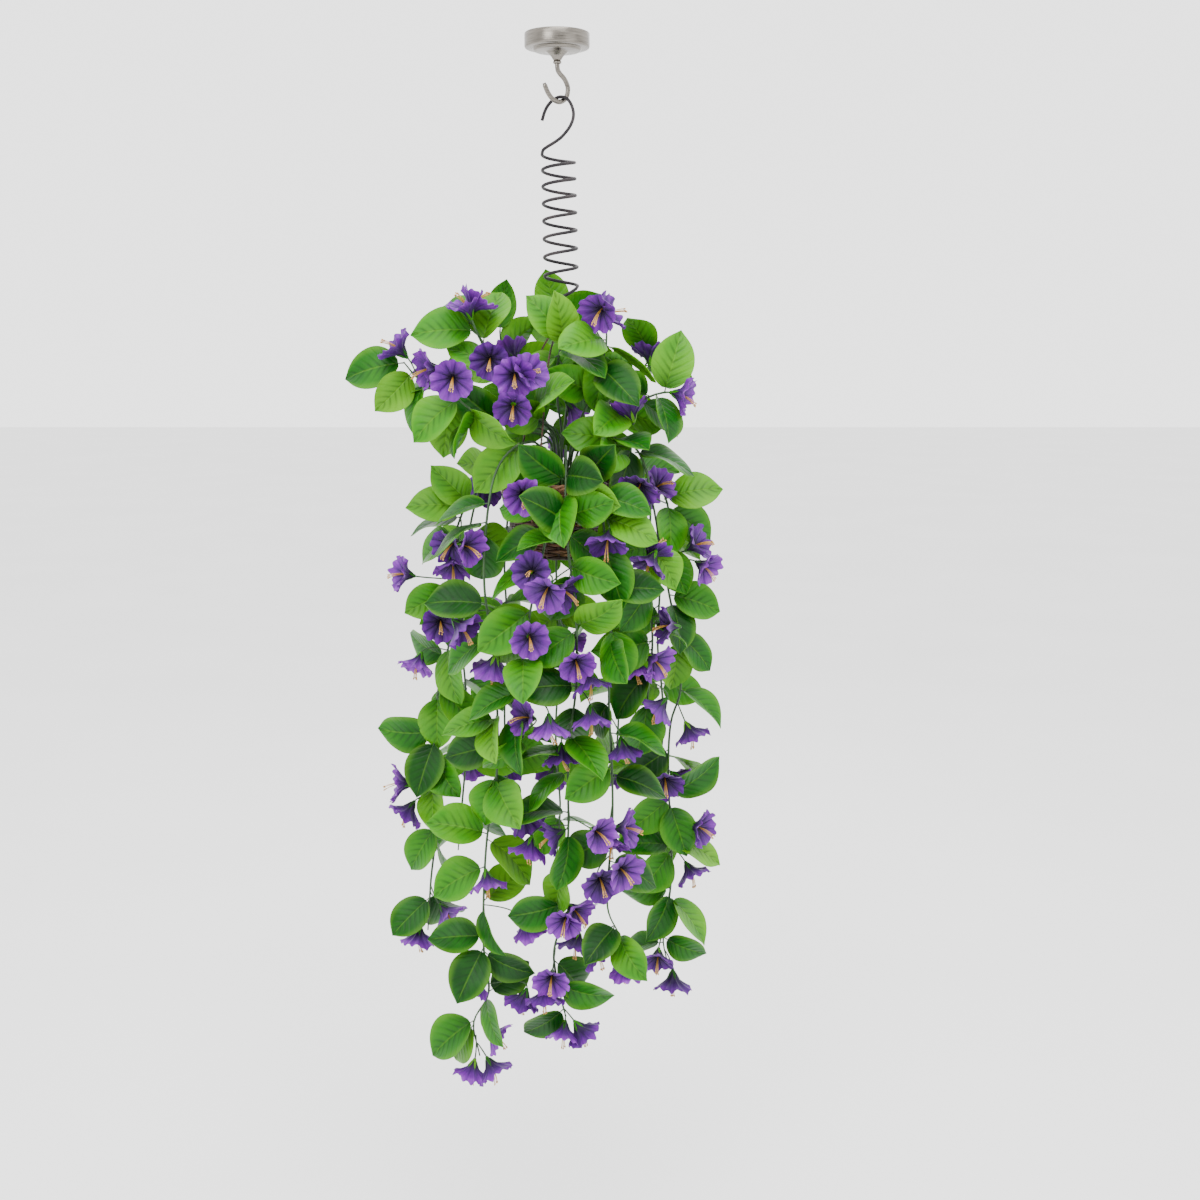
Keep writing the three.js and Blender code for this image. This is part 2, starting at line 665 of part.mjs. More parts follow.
// The stalk's two ends, each a ring of three corners
function stalkRings(bloom) {
  const foot = bloom.centre.clone().addScaledVector(bloom.facing, -bloomSize.depth * bloom.scale);
  const run = foot.clone().sub(bloom.root).normalize();
  const ends = [[bloom.root, stalkWire / 2, run], [foot, stalkWire, bloom.facing]];
  return ends.flatMap(([end, radius, way]) => {
    const bend = new THREE.Quaternion().setFromUnitVectors(bloom.facing, way);
    const [left, up] = [bloom.left, bloom.up].map((axis) => axis.clone().applyQuaternion(bend));
    return [0, 1, 2].map((corner) => {
      const angle = (corner / 3) * 2 * Math.PI + bloom.spin;
      return end.clone()
        .addScaledVector(left, Math.cos(angle) * radius)
        .addScaledVector(up, Math.sin(angle) * radius);
    });
  });
}

// Places that are taken, in cells of 10 mm, each with its owner and the kind of thing it belongs to
const taken = new Map();
const cellOf = (place) => [place.x, place.y, place.z].map((value) => Math.floor(value / 10));
const around = [-1, 0, 1].flatMap((i) => [-1, 0, 1].flatMap((j) => [-1, 0, 1].map((k) => [i, j, k])));

function occupy(places, owner, kind) {
  for (const place of places) {
    const key = cellOf(place).join();
    if (!taken.has(key)) taken.set(key, []);
    taken.get(key).push({ place, owner, kind });
  }
}

// Whether the places are clear of what others own, of their owner's leaves and blooms, and of its stem
function free(places, owner, gap, own, ownStem) {
  return places.every((place) => {
    const [a, b, c] = cellOf(place);
    return around.every(([i, j, k]) => (taken.get([a + i, b + j, c + k].join()) ?? []).every((other) => {
      let reach = Math.min(gap, clearance[other.kind]);
      if (other.owner === owner) reach = other.kind === "stem" ? ownStem : own;
      return place.distanceToSquared(other.place) > reach * reach;
    }));
  });
}

function fine(path, step) {
  const places = [path[0]];
  for (let index = 1; index < path.length; index += 1) {
    const cuts = Math.ceil(path[index - 1].distanceTo(path[index]) / step);
    for (let part = 1; part <= cuts; part += 1) {
      places.push(path[index - 1].clone().lerp(path[index], part / cuts));
    }
  }
  return places;
}

// The foam's holes lie on a spiral. Two sprays trade holes while that brings them nearer to where they lean.
function standIn(sprays) {
  sprays.forEach((spray, index) => {
    const out = foam.holeSpacing * Math.sqrt(index + 0.5);
    spray.hole = V(Math.cos(index * 2.4) * out, Math.sin(index * 2.4) * out, basket.rim - foam.below);
  });
  const away = (spray, hole) => Math.hypot(spray.stem[0][0] - hole.x, spray.stem[0][1] - hole.y);
  for (let round = 0; round < 6; round += 1) {
    for (const one of sprays) {
      for (const other of sprays) {
        const kept = away(one, one.hole) + away(other, other.hole);
        const traded = away(one, other.hole) + away(other, one.hole);
        if (traded < kept - 1e-6) [one.hole, other.hole] = [other.hole, one.hole];
      }
    }
  }
}

function layStem(spray) {
  const { hole } = spray;
  const rise = [-foam.sunk, 0, 10].map((up) => V(hole.x, hole.y, hole.z + up));
  spray.path = smooth([...rise, ...spray.stem.map(([x, y, z]) => V(x, y, z))], stemStep);
  const start = spray.path.findIndex((place) => place.distanceTo(V(...spray.stem[0])) < 1e-6);
  spray.outer = spray.path.slice(start);
}

function stemPlace(spray, along) {
  let left = along;
  for (let index = 1; index < spray.outer.length; index += 1) {
    const span = spray.outer[index - 1].distanceTo(spray.outer[index]);
    if (left <= span) return spray.outer[index - 1].clone().lerp(spray.outer[index], left / span);
    left -= span;
  }
  return spray.outer.at(-1).clone().lerp(spray.outer.at(-2), 0.02);
}

function stemLength(spray) {
  return spray.outer.slice(1).reduce((sum, place, index) => sum + place.distanceTo(spray.outer[index]), 0);
}

// Sprays at the back carry whorls of leaves and a bloom at every other whorl
function fillBack(spray) {
  spray.filled = true;
  spray.blooms = [];
  spray.leaves = [];
  const length = stemLength(spray);
  const start = length > 200 ? 70 : 35;
  let whorl = 0;
  for (let along = start; along < length + 1; along += 88) {
    const place = stemPlace(spray, along);
    const headings = [between(180, 225), between(315, 360), between(245, 295)];
    for (const heading of headings.slice(0, whorl % 3 ? 3 : 2)) {
      spray.leaves.push([along, heading, between(-45, -10)]);
    }
    if (whorl % 2 === 0) {
      const heading = between(200, 340);
      const facing = aim(heading, between(-60, -15));
      const centre = place.clone().addScaledVector(facing, 44);
      spray.blooms.push([centre.x, centre.y, centre.z, heading, (Math.asin(facing.y) * -180) / Math.PI]);
    }
    whorl += 1;
  }
}

// Each bloom stays at its place across the front and moves back or forward until it is clear of the rest
function placeBlooms(spray) {
  const stem = fine(spray.outer, 6);
  const roots = [];
  spray.placed = [];
  for (const [x, y, z, heading, lean] of spray.blooms) {
    const facing = aim(heading, lean);
    const left = V(0, 0, 1).cross(facing).normalize();
    const up = facing.clone().cross(left);
    const bloom = { facing, left, up, spin: between(0, 1.2), scale: between(0.94, 1.06) };
    const clear = [0, -7, 7, -14, 14, -21, 21, -28, 28, -35, 35].some((shift) => {
      bloom.centre = V(x, y + shift, z);
      const back = (far) => bloom.centre.clone().addScaledVector(facing, -far);
      const cost = (place) => Math.abs(place.distanceTo(back(bloomSize.depth)) - bloomSize.stalk)
        + place.distanceTo(back(44)) / 2;
      const open = stem.filter((place) => roots.every((root) => root.distanceTo(place) > leafSize.spacing));
      bloom.root = open.reduce((a, b) => (cost(a) <= cost(b) ? a : b));
      bloom.places = [
        ...bloomRing(bloom, 12, () => 20 * bloom.scale, () => 1),
        ...bloomRing(bloom, 6, () => 11 * bloom.scale, () => 4),
        ...bloomRing(bloom, 1, () => 0, () => -8),
        ...fine([bloom.root, back(bloomSize.depth)], 8).slice(1),
      ];
      return free(bloom.places, spray.name, clearance.bloom, 3, 0);
    });
    if (clear || !spray.filled) {
      occupy(bloom.places, spray.name, "bloom");
      roots.push(bloom.root);
      spray.placed.push(bloom);
    }
  }
}

// Ways a leaf may turn from its own direction, the smallest first
const leafTurns = [0, 16, -16, 32, -32, 48]
  .flatMap((tilt) => [0, 14, -14, 28, -28, 42, -42, 56, -56].map((swing) => [tilt, swing]))
  .sort((one, other) => Math.hypot(...one) - Math.hypot(...other));

function placeLeaves(spray) {
  spray.side = spray.stem.reduce((sum, [, y]) => sum + y, 0) > 0 ? 1 : -1;
  spray.blades = [];
  let last = stemLength(spray) + leafSize.spacing - 1;
  for (const [along, heading, lean] of [...spray.leaves].sort((one, other) => other[0] - one[0])) {
    last = Math.min(along, last - leafSize.spacing);
    const leaf = { root: stemPlace(spray, last), length: leafSize.length * between(0.84, 1.06) };
    const sway = between(-1, 1);
    const roll = turn(58 * sway * Math.abs(sway) ** 0.5);
    const fits = [1, 0.75].some((ease) => leafTurns.some(([tilt, swing]) => {
      pose(leaf, aim(heading + swing, lean - tilt * spray.side), spray.side, roll);
      const [gap, own, ownStem] = [clearance.leaf, clearance.own, clearance.ownStem].map((far) => far * ease);
      return free(leaf.places, spray.name, gap, own, ownStem);
    }));
    if (fits) {
      occupy(leaf.places, spray.name, "leaf");
      spray.blades.push(leaf);
    }
  }
}

// Spots on a blade as parts of its length and of its whole width
const leafSpots = [
  [0.24, 0], [0.36, 0], [0.36, 0.24], [0.36, -0.24], [0.5, 0], [0.48, 0.4], [0.48, -0.4], [0.5, 0.2],
  [0.5, -0.2], [0.64, 0], [0.64, 0.4], [0.64, -0.4], [0.76, 0.18], [0.76, -0.18], [0.8, 0.32],
  [0.8, -0.32], [0.9, 0], [1, 0],
];

// A leaf lies along its direction, with its upper face up, outwards and to its side of the basket
function pose(leaf, direction, side, roll) {
  const face = V(0, side * 0.65, 0.5).addScaledVector(V(leaf.root.x, leaf.root.y, 0).normalize(), 0.4);
  leaf.along = direction;
  leaf.up = face.addScaledVector(direction, -face.dot(direction)).normalize();
  leaf.up.applyAxisAngle(direction, roll);
  leaf.left = leaf.up.clone().cross(direction);
  const width = leafSize.width * leaf.length;
  leaf.places = leafSpots.map(([part, across]) => leafPoint(leaf, part, across * width));
}

const part = new THREE.Group();
part.name = "petunia_hanging_basket";

function addTo(parent, name, geometry, colour, metalness, roughness) {
  const material = new THREE.MeshStandardMaterial({ color: colour, metalness, roughness });
  const mesh = new THREE.Mesh(geometry, material);
  mesh.name = name;
  parent.add(mesh);
}

function group(name) {
  const made = new THREE.Group();
  made.name = name;
  part.add(made);
  return made;
}

const sprays = [...Object.entries(trailing), ...Object.entries(rising)]
  .map(([name, made]) => ({ name, blooms: [], ...made }));
standIn(sprays);
sprays.forEach(layStem);

const hangs = group("hanging_gear");
addTo(hangs, "ceiling_plate", ceilingPlate(), 0xb9b5ac, 1, 0.35);
addTo(hangs, "ceiling_hook", ceilingHook(), 0xb9b5ac, 1, 0.3);
addTo(hangs, "coil_hanger", coilHanger(), 0x2b2c30, 0.8, 0.4);
addTo(hangs, "leg_harness", legHarness(), 0x4a3524, 0, 0.8);

const holds = group("basket_and_foam");
addTo(holds, "basket", wovenBasket(), 0x6b4428, 0, 0.8);
addTo(holds, "foam_block", foamBlock(sprays.map((spray) => spray.hole)), 0x2f4a26, 0, 0.95);

for (const heading of harness.headings) {
  const line = [[0, -293], [15, -305], [33, -329], [46, -369], [58, -414], [70, -449], [73, -474]];
  const run = line.map(([out, z]) => V(Math.cos(turn(heading)) * out, Math.sin(turn(heading)) * out, z));
  occupy(fine(run, 8), "hardware", "wire");
}
for (let z = -144; z > -294; z -= 8) {
  for (let step = 0; step < 8; step += 1) {
    occupy([V(17 * Math.cos(step * 0.785), 17 * Math.sin(step * 0.785), z)], "hardware", "wire");
  }
}
for (let z = basket.rim + 4; z > basket.rim - basket.height - 8; z -= 8) {
  for (let step = 0; step < 56; step += 1) {
    const out = basketRadius(z) + 2;
    occupy([V(out * Math.cos(step * 0.1122), out * Math.sin(step * 0.1122), z)], "hardware", "wall");
  }
}
for (const spray of sprays) occupy(fine(spray.outer, 8), spray.name, "stem");
sprays.filter((spray) => !spray.leaves).forEach(fillBack);
sprays.forEach(placeBlooms);
sprays.forEach(placeLeaves);

const grows = group("sprays");
for (const spray of sprays) {
  const pieces = [wire(spray.path, stemWire, 3)];
  for (const leaf of spray.blades) pieces.push(leafBlade(leaf));
  for (const bloom of spray.placed) pieces.push(trumpet(bloom));
  addTo(grows, `spray_${spray.name}`, fuse(pieces), 0x3f8a2a, 0, 0.6);
}

export default part;
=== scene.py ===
from math import asin, ceil, cos, degrees, exp, floor, hypot, pi, radians, sin, sqrt

import bpy
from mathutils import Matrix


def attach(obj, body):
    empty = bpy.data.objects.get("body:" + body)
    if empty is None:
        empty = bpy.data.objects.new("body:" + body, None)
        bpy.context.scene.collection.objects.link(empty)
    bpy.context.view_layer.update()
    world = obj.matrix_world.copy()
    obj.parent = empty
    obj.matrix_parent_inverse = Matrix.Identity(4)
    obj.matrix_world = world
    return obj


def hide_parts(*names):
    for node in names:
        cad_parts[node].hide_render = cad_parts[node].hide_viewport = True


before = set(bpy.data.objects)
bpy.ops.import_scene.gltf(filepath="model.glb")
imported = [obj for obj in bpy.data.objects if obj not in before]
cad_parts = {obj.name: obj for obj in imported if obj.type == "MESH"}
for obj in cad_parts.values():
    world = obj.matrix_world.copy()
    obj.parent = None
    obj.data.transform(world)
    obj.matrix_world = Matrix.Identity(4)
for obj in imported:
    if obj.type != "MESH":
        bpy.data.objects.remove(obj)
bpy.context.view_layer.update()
mm = 0.001


def added(name, data):
    thing = bpy.data.objects.new(name, data)
    bpy.context.scene.collection.objects.link(thing)
    return thing


cameraLook = {"place": (44.5, -1500, -301.6), "down": 11.2, "lens": 40.92, "sensor": 36}
camera = added("camera", bpy.data.cameras.new("camera"))
camera.data.lens = cameraLook["lens"]
camera.data.sensor_width = cameraLook["sensor"]
camera.location = [value * mm for value in cameraLook["place"]]
camera.rotation_euler = (radians(90 - cameraLook["down"]), 0, 0)
bpy.context.scene.camera = camera
print("camera placed")

# what the solids are made from, in millimetres
plate = {"radius": 34, "height": 15, "inner": 25, "step": 3, "boss": 11.5, "bossLength": 9, "neck": 4.7, "collar": 3.2}
hook = {"wire": 2.5, "heading": 25, "shankTop": -12}
hanger = {
    "wire": 1.55, "coil": 17.1, "swell": 0.5, "pitch": 15.8, "stretch": 0.29, "turns": 7.5, "top": -120.6,
    "right": 0.5, "drift": 2.5}
eye = {"across": 3, "height": -275, "radius": 5, "twist": 3.6}
harness = {"wire": 1.2, "loop": 4.3, "headings": [-107, 13, 133]}
basket = {"rim": -466, "radius": 66, "foot": 47, "height": 80, "wall": 4}
foam = {"below": 18, "holeSpacing": 3.1, "holeTurn": 2.4, "sunk": 24}
stemStep = 64
leafSize = {"length": 66, "lengths": (0.84, 1.06), "spacing": 6, "width": 0.69, "fold": 0.2, "droop": 0.14, "roll": 58}
bloomSize = {"depth": 21, "stalk": 26, "spin": (0, 1.2), "scale": (0.94, 1.06)}
clearance = {"leaf": 10, "own": 7, "ownStem": 4.5, "bloom": 8, "stem": 7.5, "wire": 8, "wall": 8}
randomSeed = 6491

# sprays as the photograph has them: points of the stem, blooms with heading and lean, and leaves with way along the
# stem, heading and lean; a spray without leaves is filled by a rule
sprayTable = {
    "right_outer": {"stem": [
        (45, 0, -431), (88, 0, -446), (119, -1, -490), (116, -1, -553), (121, -2, -587), (131, -2, -638),
        (136, -2, -700), (125, -2, -742), (123, -2, -803), (127, -3, -882), (127, -3, -937), (121, -2, -986),
        (119, -2, -1009), (124, -2, -1034)], "blooms": [
        (114, -20, -464, 40, 30), (158, -17, -530, 30, 18), (166, -21, -562, 330, 32), (150, -16, -756, 295, 12),
        (119, -27, -809, 275, 58), (166, -22, -862, 355, 32), (153, -19, -922, 300, 18), (111, -26, -1026, 260, 50),
        (130, -18, -1061, 270, 18)], "leaves": [
        (101, 16, 5), (105, 340, -10), (105, 289, 15), (150, 297, 10), (202, 331, 0), (210, 285, 30), (250, 319, 5),
        (255, 266, 10), (313, 316, 20), (384, 238, 20), (436, 28, 5), (443, 246, 15), (450, 290, 10), (496, 344, 5),
        (502, 186, 10), (507, 228, 25), (556, 190, 0), (560, 246, 30), (565, 300, 15), (620, 320, 5), (622, 214, 5)]},
    "right_inner": {"stem": [
        (36, -16, -425), (74, -34, -419), (93, -48, -446), (98, -60, -489), (96, -66, -564), (101, -66, -629),
        (97, -64, -686), (95, -62, -711)], "blooms": [
        (83, -79, -468, 240, 50), (105, -68, -525, 60, -20), (93, -82, -548, 240, 20), (110, -81, -610, 172, 15),
        (110, -86, -653, 330, 35), (83, -78, -665, 265, 10), (103, -74, -709, 230, 5)], "leaves": [
        (34, 180, 5), (34, 245, 45), (34, 340, 35), (49, 240, 10), (57, 350, 5), (125, 190, 15), (160, 320, 15),
        (206, 250, 25), (245, 345, 10), (265, 200, 10), (300, 215, 10), (333, 290, 15)]},
    "front_right": {"stem": [
        (23, -32, -426), (36, -74, -447), (45, -90, -480), (51, -98, -526), (56, -100, -600), (54, -98, -688),
        (57, -96, -755), (58, -92, -824), (53, -88, -901), (54, -86, -934), (66, -84, -961)], "blooms": [
        (51, -118, -522, 260, 35), (70, -108, -747, 280, 5), (80, -106, -828, 8, 15), (57, -109, -852, 275, 30),
        (48, -115, -891, 315, 68), (74, -114, -875, 345, 55), (46, -99, -985, 310, 15),
        (76, -91, -1004, 280, -10)], "leaves": [
        (50, 20, 10), (77, 335, 5), (100, 300, 15), (129, 285, 10), (176, 20, 10), (216, 311, 20), (230, 235, 10),
        (297, 259, 10), (332, 305, 10), (369, 197, 5), (381, 347, 10), (452, 216, 10), (480, 330, 10), (561, 206, 5),
        (573, 260, 15)]},
    "front_centre": {"stem": [
        (8, -38, -423), (9, -82, -450), (9, -98, -479), (11, -106, -520), (17, -108, -567), (20, -108, -609),
        (19, -104, -675), (12, -100, -726), (10, -96, -772), (10, -92, -836), (6, -90, -894), (0, -88, -948),
        (-7, -86, -987), (1, -82, -1041), (6, -80, -1062)], "blooms": [
        (15, -126, -568, 340, 25), (22, -131, -644, 300, 60), (36, -119, -671, 285, 15), (36, -116, -709, 275, 15),
        (4, -110, -753, 272, 8), (48, -116, -822, 352, 50), (-14, -105, -840, 200, 10), (-35, -104, -860, 255, 10),
        (5, -114, -938, 245, 65), (24, -110, -932, 330, 40), (16, -103, -981, 256, 25), (-10, -111, -1008, 255, 72),
        (-17, -100, -1037, 270, 25), (3, -98, -1081, 262, 25), (28, -92, -1080, 305, 5)], "leaves": [
        (36, 280, 20), (52, 350, 10), (58, 200, 15), (66, 328, 30), (74, 240, 40), (98, 22, 10), (103, 168, 10),
        (116, 316, 5), (120, 221, 30), (148, 300, 20), (154, 196, 20), (212, 31, 5), (217, 241, 10), (278, 187, 10),
        (297, 293, 5), (335, 322, 15), (352, 206, 15), (376, 254, 15), (423, 231, 10), (445, 277, 15), (489, 239, 15),
        (531, 248, 10), (601, 303, 10), (631, 342, 5), (663, 219, 10)]},
    "front_left": {"stem": [
        (-7, -36, -426), (-9, -76, -445), (-9, -94, -474), (-13, -102, -520), (-26, -106, -578), (-37, -106, -642),
        (-42, -102, -697), (-37, -100, -729)], "blooms": [
        (-33, -121, -469, 290, 72), (-27, -131, -542, 120, 70), (-12, -130, -562, 235, 55),
        (-27, -134, -615, 315, 78), (-40, -122, -699, 160, 35), (-8, -112, -716, 272, 5)], "leaves": [
        (79, 262, 5), (86, 196, 10), (112, 250, 20), (140, 215, 15), (196, 216, 15), (222, 330, 15), (246, 275, 15),
        (285, 200, 10), (310, 305, 10), (336, 255, 10)]},
    "left_inner": {"stem": [
        (-20, -30, -424), (-43, -52, -422), (-64, -70, -446), (-74, -84, -497), (-77, -92, -564), (-70, -92, -624),
        (-66, -86, -691), (-68, -80, -777), (-80, -76, -851), (-85, -76, -924), (-86, -72, -986), (-82, -66, -1040),
        (-100, -62, -1079), (-94, -60, -1122)], "blooms": [
        (-86, -109, -523, 350, 35), (-94, -109, -613, 320, 20), (-71, -94, -659, 255, -15),
        (-35, -78, -836, 300, -30), (-78, -92, -904, 280, 20), (-32, -81, -959, 300, -10), (-100, -76, -1031, 240, 0),
        (-45, -79, -1050, 250, 10), (-68, -74, -1095, 330, 10), (-104, -75, -1140, 255, 15),
        (-74, -75, -1133, 300, 15)], "leaves": [
        (32, 287, 5), (32, 236, 15), (104, 205, 5), (124, 215, 10), (134, 262, 15), (212, 188, 5), (217, 345, 5),
        (246, 231, 10), (241, 287, 10), (313, 322, 15), (340, 185, 15), (340, 262, 20), (369, 222, 15),
        (377, 320, 15), (405, 252, 10), (405, 278, 5), (412, 312, 10), (474, 165, 5), (480, 309, 10), (512, 234, 20),
        (554, 31, 5), (559, 291, 15), (596, 180, 5), (611, 239, 20), (616, 322, 15), (670, 15, 10), (674, 286, 30),
        (714, 254, 10), (714, 216, 5)]},
    "left_outer": {"stem": [
        (-32, -3, -433), (-65, -7, -446), (-80, -8, -464), (-105, -10, -495), (-122, -10, -551), (-125, -11, -648),
        (-138, -11, -700), (-143, -10, -753), (-145, -10, -830), (-145, -9, -873), (-152, -8, -929),
        (-157, -8, -991)], "blooms": [
        (-178, -28, -563, 165, 25), (-123, -34, -536, 215, 50), (-116, -30, -562, 275, 35),
        (-130, -39, -619, 315, 80), (-161, -29, -672, 250, 25), (-190, -23, -806, 175, 10),
        (-179, -24, -846, 235, 15), (-127, -24, -970, 315, 20), (-167, -21, -1001, 265, 8)], "leaves": [
        (92, 131, 5), (96, 187, 15), (108, 203, 5), (130, 209, 10), (189, 223, 15), (255, 274, 25), (267, 163, 5),
        (309, 318, 10), (313, 254, 10), (357, 182, 0), (368, 250, 15), (388, 295, 25), (415, 255, 5), (475, 251, 5),
        (478, 290, 10), (559, 235, 20), (559, 286, 5)]},
    "back_left": {"stem": [
        (-16, 14, -430), (-56, 29, -438), (-92, 45, -480), (-111, 53, -562), (-117, 56, -657), (-112, 56, -754),
        (-120, 53, -853), (-126, 50, -915)]},
    "back_left_inner": {"stem": [
        (-9, 32, -427), (-36, 64, -441), (-59, 92, -486), (-69, 104, -571), (-67, 108, -669), (-72, 106, -769),
        (-69, 102, -857)]},
    "back_centre": {"stem": [
        (0, 36, -425), (-2, 74, -446), (-5, 100, -498), (-8, 112, -584), (-4, 116, -684), (-10, 114, -784),
        (-5, 110, -886), (-10, 106, -950)]},
    "back_right_inner": {"stem": [
        (16, 34, -427), (40, 66, -441), (54, 94, -488), (64, 106, -571), (61, 110, -670), (67, 108, -770),
        (62, 104, -845)]},
    "back_right": {"stem": [
        (33, 14, -428), (73, 30, -440), (101, 48, -483), (114, 56, -563), (112, 59, -658), (120, 58, -755),
        (112, 55, -854), (117, 52, -928)]},
    "far_left": {"stem": [
        (-7, -6, -419), (-33, -14, -402), (-72, -22, -387), (-114, -28, -371), (-147, -30, -354),
        (-164, -30, -335)], "blooms": [
        (-174, -43, -315, 135, 10), (-144, -48, -343, 185, 25)], "leaves": [
        (169, 215, 20), (152, 240, 15), (134, 140, 5), (120, 262, 15), (183, 190, 0), (102, 100, -10)]},
    "low_left": {"stem": [
        (-9, -18, -421), (-39, -40, -406), (-74, -52, -395), (-100, -60, -376), (-108, -62, -365)], "blooms": [
        (-107, -89, -353, 270, 75)], "leaves": [
        (88, 275, 20), (103, 300, 10), (116, 215, 15), (60, 130, 10)]},
    "mid_left": {"stem": [
        (-3, -14, -417), (-28, -28, -391), (-53, -38, -362), (-73, -42, -327), (-88, -38, -298),
        (-92, -36, -286)], "blooms": [
        (-70, -69, -334, 265, 75), (-96, -49, -271, 110, 10), (-81, -43, -268, 60, -10)], "leaves": [
        (131, 76, 5), (148, 165, 10), (152, 112, -5), (96, 190, 10), (72, 330, 10)]},
    "centre_left": {"stem": [
        (1, -22, -415), (-18, -34, -396), (-32, -46, -378), (-40, -54, -364), (-44, -58, -355)], "blooms": [
        (-43, -85, -350, 280, 75), (-46, -81, -383, 262, 65), (-25, -79, -342, 40, 40)], "leaves": [
        (44, 350, 10), (29, 200, 10), (64, 205, 0)]},
    "back_left_high": {"stem": [
        (-7, 8, -418), (-33, 28, -389), (-54, 42, -351), (-65, 46, -318), (-67, 46, -302)], "blooms": [
        (-58, 45, -321, 120, -30)], "leaves": [
        (138, 85, 0), (103, 170, -10), (117, 30, -15), (75, 200, -20), (93, 60, -25)]},
    "centre_high": {"stem": [
        (3, -8, -415), (-1, -14, -381), (-2, -20, -349), (2, -24, -323), (8, -26, -310)], "leaves": [
        (109, 130, 10), (109, 80, 15), (100, 340, 25), (92, 215, 20), (84, 320, 30), (57, 30, 10), (57, 160, 10)]},
    "centre_back": {"stem": [
        (4, 14, -417), (8, 34, -378), (6, 48, -340), (0, 54, -307), (-5, 54, -291)], "blooms": [
        (22, 24, -392, 320, -20)], "leaves": [
        (136, 100, -5), (127, 40, 0), (114, 150, -20), (85, 20, -20), (85, 165, -25), (55, 60, -30)]},
    "mid_right": {"stem": [
        (15, -14, -416), (29, -24, -384), (42, -32, -349), (51, -34, -317), (51, -34, -300)], "blooms": [
        (41, -58, -286, 225, 50), (60, -47, -281, 30, 10)], "leaves": [
        (113, 185, 15), (103, 235, 20), (108, 330, 15), (75, 215, 15), (84, 345, 20), (56, 200, 10), (49, 20, 10)]},
    "low_right": {"stem": [
        (21, -10, -419), (49, -22, -402), (79, -28, -381), (104, -28, -369), (121, -26, -367)], "blooms": [
        (139, -41, -372, 345, 15), (74, -29, -380, 110, -30)], "leaves": [
        (100, 275, 20), (109, 75, 5), (94, 120, 5), (82, 310, 15), (57, 250, 15), (44, 100, 5)]},
    "back_right_high": {"stem": [
        (18, 10, -421), (45, 34, -398), (76, 48, -366), (95, 52, -341), (101, 52, -330)], "blooms": [
        (100, 52, -321, 90, -20)], "leaves": [
        (121, 45, -5), (134, 130, 5), (113, 340, -5), (90, 180, -10), (90, 300, -15), (59, 120, -20),
        (59, 350, -20)]},
    "rear_left": {"stem": [
        (-4, 24, -422), (-18, 60, -402), (-36, 85, -381), (-54, 98, -364)]},
    "rear_right": {"stem": [
        (16, 26, -424), (36, 60, -400), (52, 86, -379), (66, 100, -359)]},
}


# points and directions are plain tuples, so that the sprays come out just where the solids have them
def plus(a, b, times=1):
    return (a[0] + b[0] * times, a[1] + b[1] * times, a[2] + b[2] * times)


def mixed(a, b, part):
    return plus(a, plus(b, a, -1), part)


def dot(a, b):
    return a[0] * b[0] + a[1] * b[1] + a[2] * b[2]


def cross(a, b):
    return (a[1] * b[2] - a[2] * b[1], a[2] * b[0] - a[0] * b[2], a[0] * b[1] - a[1] * b[0])


def unit(a):
    length = sqrt(dot(a, a))
    return (a[0] / length, a[1] / length, a[2] / length)


def apart(a, b):
    return sqrt((a[0] - b[0]) ** 2 + (a[1] - b[1]) ** 2 + (a[2] - b[2]) ** 2)


# a place at an angle round a centre, in the plane of two directions
def around(centre, one, other, angle, out):
    return plus(plus(centre, one, cos(angle) * out), other, sin(angle) * out)


# the same round the upright axis
def level(angle, out, z):
    return (cos(angle) * out, sin(angle) * out, z)


def turned(vector, axis, angle):
    sideways = around((0, 0, 0), vector, cross(axis, vector), angle, 1)
    return plus(sideways, axis, dot(axis, vector) * (1 - cos(angle)))


seed = {"value": randomSeed, "times": 16807, "span": 2147483647}


def between(low, high):
    seed["value"] = (seed["value"] * seed["times"]) % seed["span"]
    return low + (high - low) * seed["value"] / seed["span"]


def aim(heading, lean):
    flat = cos(radians(lean))
    heading = radians(heading)
    return (cos(heading) * flat, -sin(radians(lean)), sin(heading) * flat)


# a soft curve through the points
def smooth(points, step):
    ends = [plus(points[0], plus(points[0], points[1], -1)), *points]
    ends.append(plus(points[-1], plus(points[-1], points[-2], -1)))
    path = [points[0]]
    for before, start, stop, after in zip(ends, ends[1:], ends[2:], ends[3:]):
        cuts = max(1, int(apart(start, stop) / step + 0.5))
        for cut in range(1, cuts + 1):
            t = cut / cuts
            place = []
            for a, b, c, d in zip(before, start, stop, after):
                outOf, into = (c - a) / 2, (d - b) / 2
                square, cube = 3 * (c - b) - 2 * outOf - into, 2 * (b - c) + outOf + into
                place.append(b + outOf * t + square * t * t + cube * t ** 3)
            path.append(tuple(place))
    return path


# the same path in short steps
def fine(path, step):
    places = [path[0]]
    for start, stop in zip(path, path[1:]):
        cuts = ceil(apart(start, stop) / step)
        places += [mixed(start, stop, part / cuts) for part in range(1, cuts + 1)]
    return places


def pathLength(path):
    return sum(apart(start, stop) for start, stop in zip(path, path[1:]))


# taken places by cells, each with its owner and kind
cell = 10
near = (-1, 0, 1)
taken = {}


def occupy(places, owner, kind):
    for place in places:
        key = tuple(floor(value / cell) for value in place)
        taken.setdefault(key, []).append((place, owner, kind))


